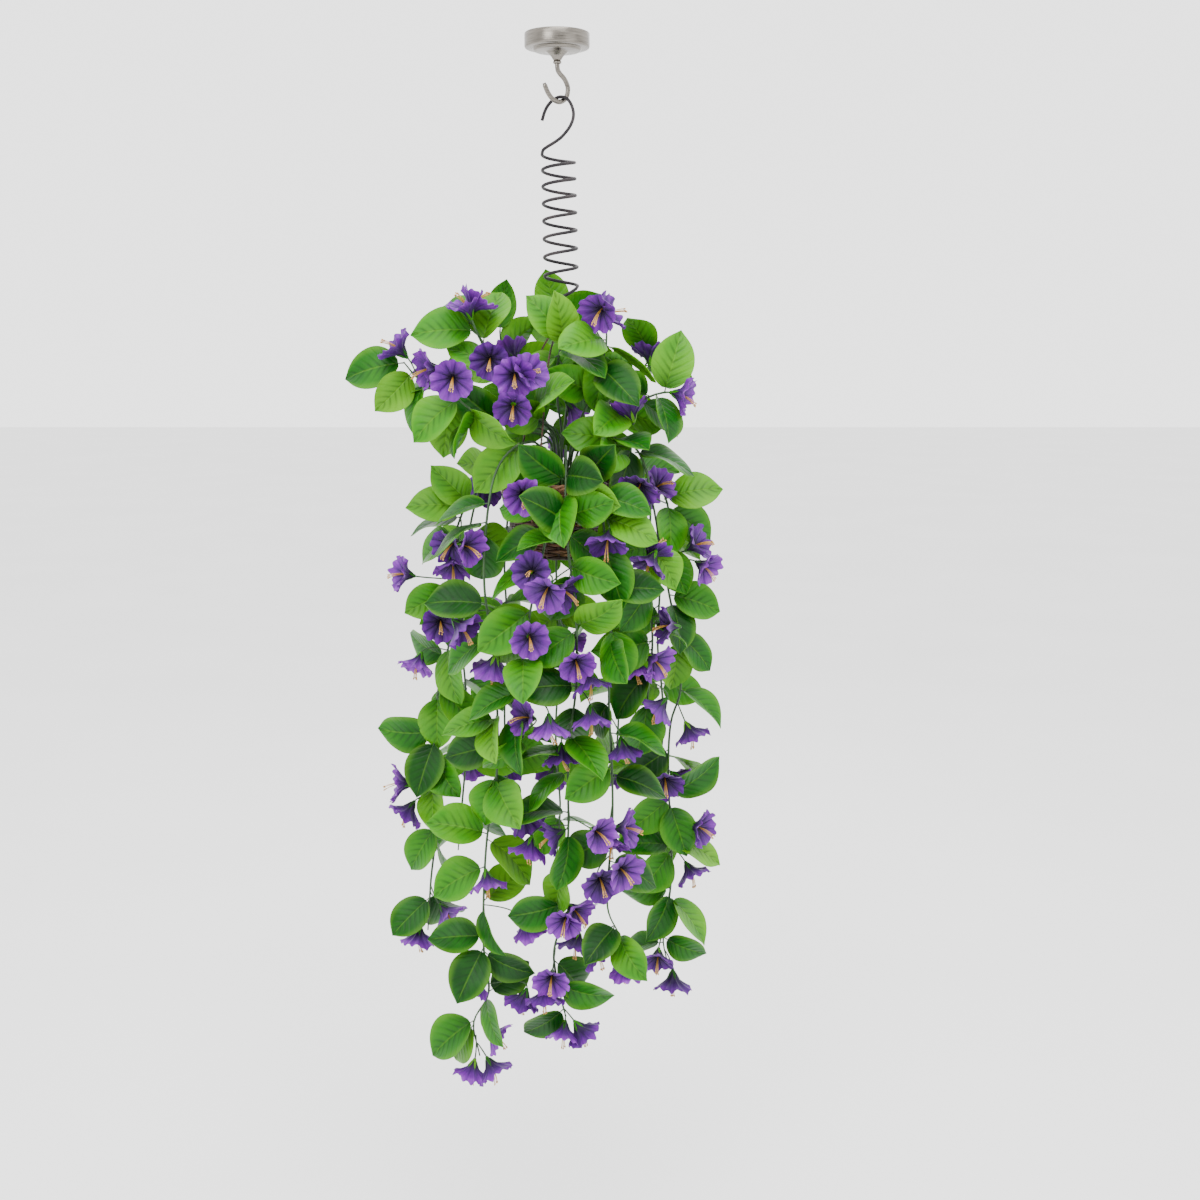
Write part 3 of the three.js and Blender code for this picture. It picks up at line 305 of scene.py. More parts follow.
# whether the places are clear of what others own, of their owner's leaves and blooms, and of its stem
def free(places, owner, gap, own, ownStem):
    for place in places:
        a, b, c = (floor(value / cell) for value in place)
        for key in ((a + i, b + j, c + k) for i in near for j in near for k in near):
            for other, holder, kind in taken.get(key, ()):
                reach = min(gap, clearance[kind])
                if holder == owner:
                    reach = ownStem if kind == "stem" else own
                if apart(place, other) ** 2 <= reach * reach:
                    return False
    return True


# gives each stem a hole in the foam, and swaps holes while that shortens the ways to them
def standIn(sprays):
    for index, spray in enumerate(sprays):
        out = foam["holeSpacing"] * sqrt(index + 0.5)
        spray["hole"] = level(index * foam["holeTurn"], out, basket["rim"] - foam["below"])

    def away(spray, hole):
        return hypot(spray["stem"][0][0] - hole[0], spray["stem"][0][1] - hole[1])

    for _ in range(6):
        for one in sprays:
            for other in sprays:
                kept = away(one, one["hole"]) + away(other, other["hole"])
                if away(one, other["hole"]) + away(other, one["hole"]) < kept - 1e-6:
                    one["hole"], other["hole"] = other["hole"], one["hole"]


def layStem(spray):
    x, y, z = spray["hole"]
    rise = [(x, y, z + up) for up in (-foam["sunk"], 0, 10)]
    path = smooth(rise + spray["stem"], stemStep)
    start = next(index for index, place in enumerate(path) if apart(place, spray["stem"][0]) < 1e-6)
    spray.update(path=path, outer=path[start:], long=pathLength(path[start:]))


def stemPlace(spray, along):
    outer = spray["outer"]
    for start, stop in zip(outer, outer[1:]):
        span = apart(start, stop)
        if along <= span:
            return mixed(start, stop, along / span)
        along -= span
    return mixed(outer[-1], outer[-2], 0.02)


# sprays at the back carry whorls of leaves, and a bloom at every other whorl
whorls = {
    "first": 70, "firstShort": 35, "short": 200, "spacing": 88, "lean": (-45, -10),
    "headings": [(180, 225), (315, 360), (245, 295)],
    "bloomHeading": (200, 340), "bloomLean": (-60, -15), "bloomAhead": 44}


def fillBack(spray):
    spray.update(filled=True, blooms=[], leaves=[])
    along = whorls["first"] if spray["long"] > whorls["short"] else whorls["firstShort"]
    whorl = 0
    while along < spray["long"] + 1:
        headings = [between(*span) for span in whorls["headings"]]
        for heading in headings[:3 if whorl % 3 else 2]:
            spray["leaves"].append((along, heading, between(*whorls["lean"])))
        if whorl % 2 == 0:
            heading = between(*whorls["bloomHeading"])
            facing = aim(heading, between(*whorls["bloomLean"]))
            lean = -degrees(asin(facing[1]))
            spray["blooms"].append((*plus(stemPlace(spray, along), facing, whorls["bloomAhead"]), heading, lean))
        whorl += 1
        along += whorls["spacing"]


# a place round a bloom's axis, back from its centre
def bloomSpot(bloom, angle, out, back):
    return plus(around(bloom["centre"], bloom["left"], bloom["up"], angle, out), bloom["facing"], -back)


def bloomRing(bloom, count, out, back):
    return [bloomSpot(bloom, index / count * 2 * pi + bloom["spin"], out, back) for index in range(count)]


# what a bloom needs to itself, and how far it may move up or down for that
bloomRoom = {
    "rim": (12, 20, 1), "throat": (6, 11, 4), "tip": (1, 0, -8), "behind": 44, "own": 3,
    "shifts": (0, -7, 7, -14, 14, -21, 21, -28, 28, -35, 35)}


def placeBlooms(spray):
    stem = fine(spray["outer"], 6)
    roots = []
    spray["placed"] = []
    for x, y, z, heading, lean in spray["blooms"]:
        facing = aim(heading, lean)
        left = unit(cross((0, 0, 1), facing))
        bloom = {"facing": facing, "left": left, "up": cross(facing, left)}
        bloom.update(spin=between(*bloomSize["spin"]), scale=between(*bloomSize["scale"]))
        for shift in bloomRoom["shifts"]:
            centre = bloom["centre"] = (x, y + shift, z)
            foot = plus(centre, facing, -bloomSize["depth"])
            behind = plus(centre, facing, -bloomRoom["behind"])
            spots = [place for place in stem if all(apart(root, place) > leafSize["spacing"] for root in roots)]
            costs = [abs(apart(place, foot) - bloomSize["stalk"]) + apart(place, behind) / 2 for place in spots]
            bloom["root"] = spots[costs.index(min(costs))]
            places = fine([bloom["root"], foot], 8)[1:] + bloomRing(bloom, *bloomRoom["tip"])
            for part in ("rim", "throat"):
                count, out, back = bloomRoom[part]
                places += bloomRing(bloom, count, out * bloom["scale"], back)
            clear = free(places, spray["name"], clearance["bloom"], bloomRoom["own"], 0)
            if clear:
                break
        if clear or not spray.get("filled"):
            occupy(places, spray["name"], "bloom")
            roots.append(bloom["root"])
            spray["placed"].append(bloom)


def leafPoint(leaf, part, left, lift=0):
    drop = leafSize["droop"] * leaf["length"] * (1.6 * part - 2.6 * part * part)
    place = plus(leaf["root"], leaf["along"], part * leaf["length"])
    place = plus(place, leaf["left"], left)
    return plus(place, leaf["up"], drop + leafSize["fold"] * abs(left) + lift)


# spots on a blade as parts of its length and of its whole width
leafSpots = [
    (0.24, 0), (0.36, 0), (0.36, 0.24), (0.36, -0.24), (0.5, 0), (0.48, 0.4), (0.48, -0.4), (0.5, 0.2), (0.5, -0.2),
    (0.64, 0), (0.64, 0.4), (0.64, -0.4), (0.76, 0.18), (0.76, -0.18), (0.8, 0.32), (0.8, -0.32), (0.9, 0), (1, 0)]


def pose(leaf, direction, side, roll):
    root = leaf["root"]
    face = plus((0, side * 0.65, 0.5), unit((root[0], root[1], 0)), 0.4)
    leaf["along"] = direction
    leaf["up"] = turned(unit(plus(face, direction, -dot(face, direction))), direction, roll)
    leaf["left"] = cross(leaf["up"], direction)
    width = leafSize["width"] * leaf["length"]
    return [leafPoint(leaf, part, across * width) for part, across in leafSpots]


# ways a leaf may turn from its own direction, the smallest first, and then again with less room around it
leafTurns = [(tilt, swing) for tilt in (0, 16, -16, 32, -32, 48) for swing in (0, 14, -14, 28, -28, 42, -42, 56, -56)]
leafTurns.sort(key=lambda turn: hypot(*turn))
leafTries = [(ease, *turn) for ease in (1, 0.75) for turn in leafTurns]


def placeLeaves(spray):
    side = 1 if sum(point[1] for point in spray["stem"]) > 0 else -1
    spray["blades"] = []
    last = spray["long"] + leafSize["spacing"] - 1
    for along, heading, lean in sorted(spray["leaves"], key=lambda leaf: -leaf[0]):
        last = min(along, last - leafSize["spacing"])
        leaf = {"root": stemPlace(spray, last), "length": leafSize["length"] * between(*leafSize["lengths"])}
        sway = between(-1, 1)
        roll = radians(leafSize["roll"] * sway * abs(sway) ** 0.5)
        for ease, tilt, swing in leafTries:
            places = pose(leaf, aim(heading + swing, lean - tilt * side), side, roll)
            if free(places, spray["name"], *(clearance[kind] * ease for kind in ("leaf", "own", "ownStem"))):
                occupy(places, spray["name"], "leaf")
                spray["blades"].append(leaf)
                break


def basketRadius(z):
    part = z - basket["rim"] + basket["height"]
    return basket["foot"] + (basket["radius"] - basket["foot"]) * part / basket["height"]


# the line of a harness leg as ways out and heights, down to the rim
legLine = [(0, -293), (15, -305), (33, -329), (46, -369), (58, -414), (70, -449)]
# room that the coil and the basket take: heights from and to, places round, the turn between them and the way out
gearRoom = {"coil": (-144, -294, 8, 0.785, 17), "basket": (4, -8, 56, 0.1122, 2), "step": 8}
sprays = [{"name": name, "blooms": [], **made} for name, made in sprayTable.items()]


def growSprays():
    standIn(sprays)
    for spray in sprays:
        layStem(spray)
    for heading in harness["headings"]:
        line = [level(radians(heading), out, z) for out, z in [*legLine, (73, -474)]]
        occupy(fine(line, gearRoom["step"]), "gear", "wire")
    top, low, count, turn, out = gearRoom["coil"]
    for z in range(top, low, -gearRoom["step"]):
        occupy([level(index * turn, out, z) for index in range(count)], "gear", "wire")
    top, low, count, turn, out = gearRoom["basket"]
    for z in range(basket["rim"] + top, basket["rim"] - basket["height"] + low, -gearRoom["step"]):
        occupy([level(index * turn, basketRadius(z) + out, z) for index in range(count)], "gear", "wall")
    for spray in sprays:
        occupy(fine(spray["outer"], gearRoom["step"]), spray["name"], "stem")
    for spray in sprays:
        if "leaves" not in spray:
            fillBack(spray)
    for place in (placeBlooms, placeLeaves):
        for spray in sprays:
            place(spray)


growSprays()
leafCount, bloomCount = (sum(len(spray[kind]) for spray in sprays) for kind in ("blades", "placed"))
print("sprays grown:", leafCount, "leaves,", bloomCount, "blooms")


class Form:
    # points and faces of one piece, with each point's place on its blade or rod and a shade of its own
    def __init__(self):
        self.points, self.places, self.shades, self.faces, self.finishes = [], [], [], [], []

    def point(self, place, u=0.0, v=0.0, shade=0.5):
        self.points.append(place)
        self.places.append((u, v))
        self.shades.append(shade)
        return len(self.points) - 1

    def face(self, corners, finish=0):
        self.faces.append(tuple(corners))
        self.finishes.append(finish)

    def quad(self, a, b, c, d, finish=0):
        self.face((a, b, c), finish)
        self.face((a, c, d), finish)

    # joins rings of equal length into a skin, and closes both ends
    def skin(self, rings, finish=0, closed=False):
        pairs = list(zip(rings, rings[1:]))
        if closed:
            pairs.append((rings[-1], rings[0]))
        else:
            self.face(reversed(rings[0]), finish)
            self.face(rings[-1], finish)
        for low, high in pairs:
            for index in range(len(low)):
                after = (index + 1) % len(low)
                self.quad(low[index], low[after], high[after], high[index], finish)

    def build(self, name, paints, slot, *nodes):
        mesh = bpy.data.meshes.new(name)
        mesh.from_pydata([tuple(value * mm for value in place) for place in self.points], [], self.faces)
        for paint in paints:
            mesh.materials.append(paint.holder)
        mesh.polygons.foreach_set("material_index", self.finishes)
        mesh.polygons.foreach_set("use_smooth", [True] * len(self.faces))
        flat = []
        for face in self.faces:
            corners = [self.places[corner] for corner in face]
            wraps = max(corners)[0] - min(corners)[0] > 0.5
            for u, v in corners:
                flat += (u + 1 if wraps and u < 0.5 else u, v)
        mesh.uv_layers.new(name="place").data.foreach_set("uv", flat)
        mesh.attributes.new("shade", "FLOAT", "POINT").data.foreach_set("value", self.shades)
        mesh.validate()
        mesh.set_sharp_from_angle(angle=radians(55))
        piece = added(name, mesh)
        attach(piece, "root")
        if nodes:
            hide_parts(*nodes)


# two directions across a path at each of its places, which turn with it and don't spin
def framed(path, side=None):
    frames = []
    for index, place in enumerate(path):
        along = unit(plus(path[min(index + 1, len(path) - 1)], path[max(index - 1, 0)], -1))
        side = side or ((0, 0, 1) if abs(along[2]) < 0.9 else (1, 0, 0))
        side = unit(plus(side, along, -dot(side, along)))
        frames.append((place, side, cross(along, side)))
    return frames


# a round rod along a path; thick may be a number or a function of the part from 0 to 1
def rod(form, path, thick, sides=8, finish=0, shade=0.5, start=None, closed=False):
    rings = []
    for index, spot in enumerate(framed(path, start)):
        part = index / (len(path) - 1)
        radius = thick(part) if callable(thick) else thick
        turns = [step / sides for step in range(sides)]
        rings.append([form.point(around(*spot, turn * 2 * pi, radius), part, turn, shade) for turn in turns])
    form.skin(rings, finish, closed)


# a solid of revolution round the upright axis from a profile of ways out and heights
def lathe(form, profile, steps):
    turns = [step / steps for step in range(steps)]
    form.skin([[form.point(level(turn * 2 * pi, out, z), row, turn) for turn in turns]
               for row, (out, z) in enumerate(profile)])


class Wire:
    # a socket of a finish, with its sums and products as Math nodes
    def __init__(self, paint, socket):
        self.paint, self.socket = paint, socket

    def __add__(self, other):
        return self.paint.maths("ADD", self, other)

    def __sub__(self, other):
        return self.paint.maths("SUBTRACT", self, other)

    def __rsub__(self, other):
        return self.paint.maths("SUBTRACT", other, self)

    def __mul__(self, other):
        return self.paint.maths("MULTIPLY", self, other)


class Paint:
    # one finish, or the sky; every node comes from node()
    def __init__(self, name, kind="materials"):
        self.holder = getattr(bpy.data, kind).new(name)
        self.holder.use_nodes = True
        self.tree = self.holder.node_tree
        self.tree.nodes.clear()

    def node(self, kind, settings=None, values=None, output=0):
        made = self.tree.nodes.new("ShaderNode" + kind)
        for key, value in (settings or {}).items():
            setattr(made, key, value)
        for key, value in (values or {}).items():
            if isinstance(value, Wire):
                self.tree.links.new(value.socket, made.inputs[key])
            else:
                made.inputs[key].default_value = value
        return Wire(self, made.outputs[output]) if made.outputs else None

    def maths(self, operation, *values):
        return self.node("Math", {"operation": operation}, dict(enumerate(values)))

    # 0 below low and 1 above high, with a soft step between
    def clamped(self, value, low, high):
        spread = {"Value": value, "From Min": low, "From Max": high}
        return self.node("MapRange", {"interpolation_type": "SMOOTHSTEP"}, spread)

    def blended(self, factor, one, other):
        one, other = [value if isinstance(value, Wire) else (*value, 1) for value in (one, other)]
        return self.node("Mix", {"data_type": "RGBA", "blend_type": "MIX"}, {0: factor, 6: one, 7: other}, 2)

    def ramp(self, factor, *stops):
        made = self.node("ValToRGB", {}, {"Fac": factor})
        elements = made.socket.node.color_ramp.elements
        for place, _ in stops[2:]:
            elements.new(place)
        for element, (place, colour) in zip(elements, stops):
            element.position = place
            element.color = (*colour, 1)
        return made

    def noise(self, scale, detail=2, stretch=None):
        place = self.node("TexCoord", output="Object")
        if stretch:
            place = self.node("Mapping", {}, {"Vector": place, "Scale": stretch})
        return self.node("TexNoise", {}, {"Vector": place, "Scale": scale, "Detail": detail})

    def parted(self, vector):
        split = self.node("SeparateXYZ", {}, {"Vector": vector})
        return [Wire(self, part) for part in split.socket.node.outputs]

    # along and across the blade or rod
    def places(self):
        return self.parted(self.node("UVMap", {"uv_map": "place"}))[:2]

    def shade(self):
        return self.node("Attribute", {"attribute_name": "shade"}, output="Fac")

    # relief is a height with its strength and its depth in metres
    def finish(self, colour, rough, relief=None, **more):
        values = {"Base Color": colour, "Roughness": rough}
        values.update({key.replace("_", " "): value for key, value in more.items()})
        if relief:
            values["Normal"] = self.node("Bump", {}, dict(zip(("Height", "Strength", "Distance"), relief)))
        self.node("OutputMaterial", {}, {"Surface": self.node("BsdfPrincipled", {}, values)})
        return self


# brushed nickel: fine rings round the axis and a satin glow
def nickelPaint():
    paint = Paint("brushedNickel")
    grain = paint.noise(60, 3, (1, 1, 24))
    cloud = paint.noise(9)
    colour = paint.ramp(grain * 0.6 + cloud * 0.4, (0.3, (0.070, 0.062, 0.054)), (0.7, (0.26, 0.24, 0.21)))
    return paint.finish(colour, grain * 0.14 + 0.24, (grain, 0.08, 0.0002), Metallic=1.0)


# dark lacquered spring wire, a little worn
def darkWirePaint():
    paint = Paint("darkSpringWire")
    wear = paint.clamped(paint.noise(38), 0.4, 0.75)
    colour = paint.blended(wear, (0.014, 0.012, 0.014), (0.040, 0.033, 0.034))
    return paint.finish(colour, paint.noise(60) * 0.2 + 0.45, (wear, 0.1, 0.0002), Specular_IOR_Level=0.2)


def brownWirePaint():
    paint = Paint("brownTwistedWire")
    patch = paint.clamped(paint.noise(90, 3), 0.4, 0.7)
    colour = paint.blended(patch, (0.030, 0.014, 0.008), (0.105, 0.052, 0.026))
    return paint.finish(colour, paint.noise(200) * 0.2 + 0.42, (patch, 0.25, 0.0003))


# peeled and unpeeled willow in one weave: bark brown with tan where the bark is off
def willowPaint():
    paint = Paint("willow")
    tone = paint.shade()
    patch = paint.noise(22, 3)
    fibre = paint.noise(180, 2, (1, 1, 0.25))
    tan = paint.clamped(patch + tone * 0.5, 0.76, 1.0)
    bark = paint.ramp(tone * 0.6 + fibre * 0.4, (0.15, (0.014, 0.005, 0.003)), (0.85, (0.075, 0.025, 0.011)))
    colour = paint.blended(tan, bark, (0.19, 0.085, 0.032))
    return paint.finish(colour, fibre * 0.25 + 0.5, (fibre, 0.5, 0.0005))


def linerPaint():
    paint = Paint("linerFilm")
    cloud = paint.noise(70, 3)
    colour = paint.ramp(cloud, (0.3, (0.010, 0.006, 0.004)), (0.7, (0.030, 0.016, 0.009)))
    return paint.finish(colour, cloud * 0.2 + 0.6, (cloud, 0.3, 0.0006))


def foamPaint():
    paint = Paint("foam")
    pore = paint.node("TexVoronoi", {"feature": "F1"}, {"Scale": 420.0})
    cloud = paint.noise(40, 3)
    colour = paint.ramp(pore * 0.7 + cloud * 0.5, (0.2, (0.012, 0.035, 0.008)), (0.8, (0.055, 0.125, 0.025)))
    return paint.finish(colour, 0.9, (pore, 0.6, 0.0006))


# wrapped stem wire, dark green going to black
def stemPaint():
    paint = Paint("wrappedStem")
    wrap = paint.noise(260, 2, (1, 1, 3))
    cloud = paint.noise(30)
    colour = paint.ramp(wrap * 0.4 + cloud * 0.6, (0.3, (0.008, 0.022, 0.008)), (0.7, (0.030, 0.095, 0.018)))
    return paint.finish(colour, wrap * 0.25 + 0.4, (wrap, 0.3, 0.0003))


# printed leaf cloth: a dark feather along the midrib and veins, going to a lighter rim; the underside is paler
def leafPaint():
    paint = Paint("leafCloth")
    along, across = paint.places()
    tone = paint.shade()
    side = paint.maths("ABSOLUTE", across * 2 - 1)
    blotch = paint.noise(34, 3)
    stripe = paint.maths("FRACT", (along - side * 0.3) * 7 + blotch * 0.5)
    vein = 1 - paint.clamped(paint.maths("ABSOLUTE", stripe - 0.5), 0.02, 0.3)
    feather = (1 - paint.clamped(side, 0.05, 0.85)) * (vein * 0.65 + 0.35)
    midrib = 1 - paint.clamped(side, 0.015, 0.06)
    rim = paint.clamped(side, 0.6, 1.0)
    base = paint.ramp(
        tone * 0.74 + blotch * 0.5 - 0.13, (0.08, (0.001, 0.034, 0.001)), (0.36, (0.006, 0.098, 0.001)),
        (0.62, (0.028, 0.195, 0.001)), (0.92, (0.110, 0.320, 0.006)))
    dark = paint.blended(0.8, base, (0.001, 0.020, 0.001))
    colour = paint.blended(feather * 0.75, base, dark)
    deep = 1 - paint.clamped(along, 0.02, 0.4)
    colour = paint.blended(deep * 0.5, colour, dark)
    colour = paint.blended(rim * 0.3 + midrib * 0.22, colour, (0.130, 0.330, 0.010))
    height = vein * -0.5 - midrib + paint.noise(900, 1) * 0.15 + blotch * 1.2
    return paint.finish(colour, blotch * 0.2 + 0.33, (height, 0.5, 0.0009), Specular_IOR_Level=0.18)


# petal cloth: violet with painted shade along the creases that run out from the throat, and a lighter rim
def petalPaint():
    paint = Paint("petalCloth")
    turn, out = paint.places()
    tone = paint.shade()
    streak = paint.maths("SINE", turn * (70 * pi)) * 0.5 + 0.5
    grain = paint.noise(200, 3)
    cloud = paint.noise(70, 3)
    # the crease mask follows the pleat lines: it darkens the colour there as painted shade in the folds, and it also
    # dents the bump
    fold = 1 - paint.clamped(paint.maths("ABSOLUTE", paint.maths("SINE", turn * (10 * pi))), 0.0, 0.8)
    crease = fold * paint.clamped(cloud, 0.3, 0.62)
    reach = paint.clamped(out, 0.25, 1.0)
    # taking crease off the tint darkens the pleat lines with painted shade
    tint = reach * 0.44 + cloud * 0.7 + tone * 0.32 + streak * 0.06 + grain * 0.12 - crease * 0.28 - 0.4
    colour = paint.ramp(
        tint, (0.05, (0.014, 0.001, 0.042)), (0.35, (0.054, 0.003, 0.135)), (0.65, (0.140, 0.008, 0.285)),
        (0.95, (0.310, 0.058, 0.520)))
    throat = 1 - paint.clamped(out, 0.16, 0.42)
    colour = paint.blended(throat * 0.9, colour, (0.008, 0.001, 0.020))
    relief = (streak * 0.4 - crease + grain * 0.4, 0.4, 0.0006)
    return paint.finish(colour, grain * 0.2 + 0.5, relief, Specular_IOR_Level=0.3, Sheen_Weight=0.05)


def stamenPaint():
    paint = Paint("stamen")
    grain = paint.noise(500)
    colour = paint.ramp(
        paint.places()[0] + grain * 0.15, (0.1, (0.12, 0.055, 0.006)), (0.45, (0.36, 0.18, 0.018)),
        (0.85, (0.56, 0.30, 0.050)), (1.0, (0.66, 0.38, 0.16)))
    return paint.finish(colour, grain * 0.1 + 0.5, (grain, 0.2, 0.0002))


nickel, darkWire, brownWire, willow = nickelPaint(), darkWirePaint(), brownWirePaint(), willowPaint()
linerFilm, foamGreen, stemWrap = linerPaint(), foamPaint(), stemPaint()
leafCloth, petalCloth, stamenTone = leafPaint(), petalPaint(), stamenPaint()
print("finishes made")


# the ceiling plate is a turned dish with a stepped face, a boss and a collared neck that is bored for the hook
def buildPlate():
    radius, height, inner, boss = (plate[key] for key in ("radius", "height", "inner", "boss"))
    neck, collar = plate["neck"], plate["collar"]
    face = -height - plate["step"]
    low = face - plate["bossLength"]
    form = Form()
    lathe(form, [
        (0.1, -9), (3.05, -9), (3.05, low - 2.7), (3.3, low - 3), (collar + 0.4, low - 3), (collar + 1, low - 2.5),
        (collar + 1.3, low - 1.5), (collar + 1, low - 0.6), (collar + 0.2, low), (neck - 0.4, low + 0.6),
        (neck, low + 1.3), (neck + 0.6, low + 2.4), (neck + 1.5, low + 3.7), (neck + 2.8, low + 5.2),
        (boss - 2.6, face - 2.6), (boss - 1.2, face - 1.4), (boss - 0.5, face - 0.7), (boss + 0.4, face - 0.2),
        (boss + 1.6, face), (inner - 2.2, face), (inner - 1.0, face + 0.25), (inner - 0.3, face + 0.6),
        (inner, face + 1.4), (inner, -height - 0.8), (inner + 0.25, -height - 0.2), (inner + 0.9, -height),
        (radius - 2.2, -height), (radius - 1.0, -height + 0.25), (radius - 0.3, -height + 0.9),
        (radius, -height + 2), (radius, -1.2), (radius - 0.3, -0.4), (radius - 1, 0), (0.1, 0)], 96)
    form.build("ceilingPlate", [nickel], "nickel", "ceiling_plate")


hookForm = {"step": 1.2, "sides": 20, "tip": 0.985, "taper": 0.75}


def buildHook():
    line = [
        (0, hook["shankTop"]), (0, -19), (0.2, -34), (2.5, -39), (8.4, -45), (12, -53.5), (9.8, -63), (2.8, -67.6),
        (-5, -65.5), (-10.8, -59), (-15, -50)]
    path = smooth([level(radians(hook["heading"]), out, z) for out, z in line], hookForm["step"])
    form = Form()
    tip, taper = hookForm["tip"], hookForm["taper"]
    rod(form, path, lambda part: hook["wire"] * (1 if part < tip else taper), hookForm["sides"])
    form.build("ceilingHook", [nickel], "nickel", "ceiling_hook")


# the hanger is one spring wire: an open hook, the coil and a small eye
coilForm = {"cuts": 48, "sides": 12, "coat": 0.15, "eyeCuts": 56, "eyeFrom": 80, "eyeStep": 6, "eyeBack": -2.2}


def hangerPath():
    path = smooth([
        (-16.8, 12, -84.8), (-13.7, 10.3, -75.8), (-9.9, 8.2, -69.6), (-4.4, 5.4, -64.8), (2.5, 1.2, -62.6),
        (9.5, -2.6, -64.6), (14.2, -5.6, -70.6), (16.8, -8.2, -79), (16.3, -10.5, -86.6), (13.3, -12.5, -93.8),
        (8.9, -14, -100), (3.1, -15, -106), (-4.2, -14.5, -110.8), (-10.2, -12.5, -114), (-15, -8.5, -117),
        (-16.6, 0, hanger["top"])], 1.5)[:-1]
    cuts = int(hanger["turns"] * coilForm["cuts"])
    for step in range(cuts + 1):
        turns = step / coilForm["cuts"]
        z = hanger["top"] - (hanger["pitch"] + hanger["stretch"] * turns) * turns
        place = level(pi - turns * 2 * pi, hanger["coil"] + hanger["swell"] * step / cuts, z)
        path.append(plus(place, (1, 0, 0), hanger["right"] + hanger["drift"] * step / cuts))
    ring = []
    for step in range(coilForm["eyeCuts"]):
        centre = (eye["across"], coilForm["eyeBack"] + eye["twist"] * step / (coilForm["eyeCuts"] - 1), eye["height"])
        angle = radians(coilForm["eyeFrom"] - step * coilForm["eyeStep"])
        ring.append(around(centre, (1, 0, 0), (0, 0, 1), angle, eye["radius"]))
    link = smooth([
        path[-1], (18.6, -6.5, -258.6), (13.5, -10.8, -262.2), (7.2, -12, -265.6), (1.6, -10, -268),
        (0, -5.6, -269.4), ring[0]], 1.2)
    return path + link[1:-1] + ring


def buildHanger():
    form = Form()
    rod(form, hangerPath(), hanger["wire"] + coilForm["coat"], coilForm["sides"], start=(0, 1, 0))
    form.build("springHanger", [darkWire], "dark_wire", "coil_hanger")


# a strand of three wires under a loop, and legs of two thin wires that end inside the basket's wall
legForm = {
    "loopCuts": 72, "loopSides": 10, "back": -0.4,
    "strand": {"strands": 3, "thin": 1.05, "off": 1.2, "lay": 8, "sides": 10},
    "leg": {"strands": 2, "thin": 0.64, "off": 0.58, "lay": 7, "sides": 8},
    "end": [(72.6, -462), (72.3, -469), (69.5, -473.6), (65, -474.6), (59, -474.4), (56.8, -471), (56.6, -466.5)]}


def twist(form, path, strands, thin, off, lay, sides):
    total = pathLength(path)
    turns = max(1, round(total / lay))
    for strand in range(strands):
        line = []
        run = 0
        for index, spot in enumerate(framed(path)):
            if index:
                run += apart(path[index], path[index - 1])
            line.append(around(*spot, 2 * pi * (turns * run / total + strand / strands), off))
        rod(form, line, thin, sides, shade=0.3 + 0.4 * strand / strands)


def buildLegs():
    form = Form()
    x, y, loop = eye["across"], legForm["back"], harness["loop"]
    centre = eye["height"] - eye["radius"] + hanger["wire"] + 0.4 + harness["wire"] - loop
    angles = [2 * pi * step / legForm["loopCuts"] for step in range(legForm["loopCuts"])]
    ring = [around((x, y, centre), (0, 1, 0), (0, 0, 1), angle, loop) for angle in angles]
    rod(form, ring, harness["wire"], legForm["loopSides"], start=(1, 0, 0), closed=True)
    twist(form, [(x, y, centre - loop + 0.6 - 0.8 * step) for step in range(17)], **legForm["strand"])
    for heading in harness["headings"]:
        points = []
        for out, z in [legLine[0], (5, -297), *legLine[1:], *legForm["end"]]:
            points.append(plus(level(radians(heading), out, z), (1, 0, 0), x * max(0, 1 - out / 40)))
        twist(form, fine(smooth(points, 8), 0.9), **legForm["leg"])
    form.build("wireLegs", [brownWire], "brown_wire", "leg_harness")


# willow rods woven round upright stakes, under a plaited rim; each kind of ring has its rod, sides and cuts, the waves
# on its way round, how far they swing out and up, and the range of its shade
weaveForm = {
    "stakes": 24, "stake": 1.5, "rows": 21, "inset": 1.5, "strands": 3, "floorRods": 12, "floorStake": 1.2,
    "wall": (1.8, 8, 144, 12, 1.25, 0, 0, 1), "rim": (2.1, 8, 240, 13, 2.1, 2.1, 0.4, 1),
    "foot": (1.2, 8, 192, 12, 1.1, 0.8, 0, 0.5), "floor": (1.3, 6, 96, 12, 0, 0.8, 0, 1)}


def woven(form, kind, phase, centre, height):
    thick, sides, cuts, waves, out, up, low, high = weaveForm[kind]
    ring = []
    for step in range(cuts):
        angle = 2 * pi * step / cuts
        turn = waves * angle + phase
        ring.append(level(angle, centre + cos(turn) * out, height + sin(turn) * up))
    rod(form, ring, thick, sides, shade=between(low, high), start=(0, 0, 1), closed=True)


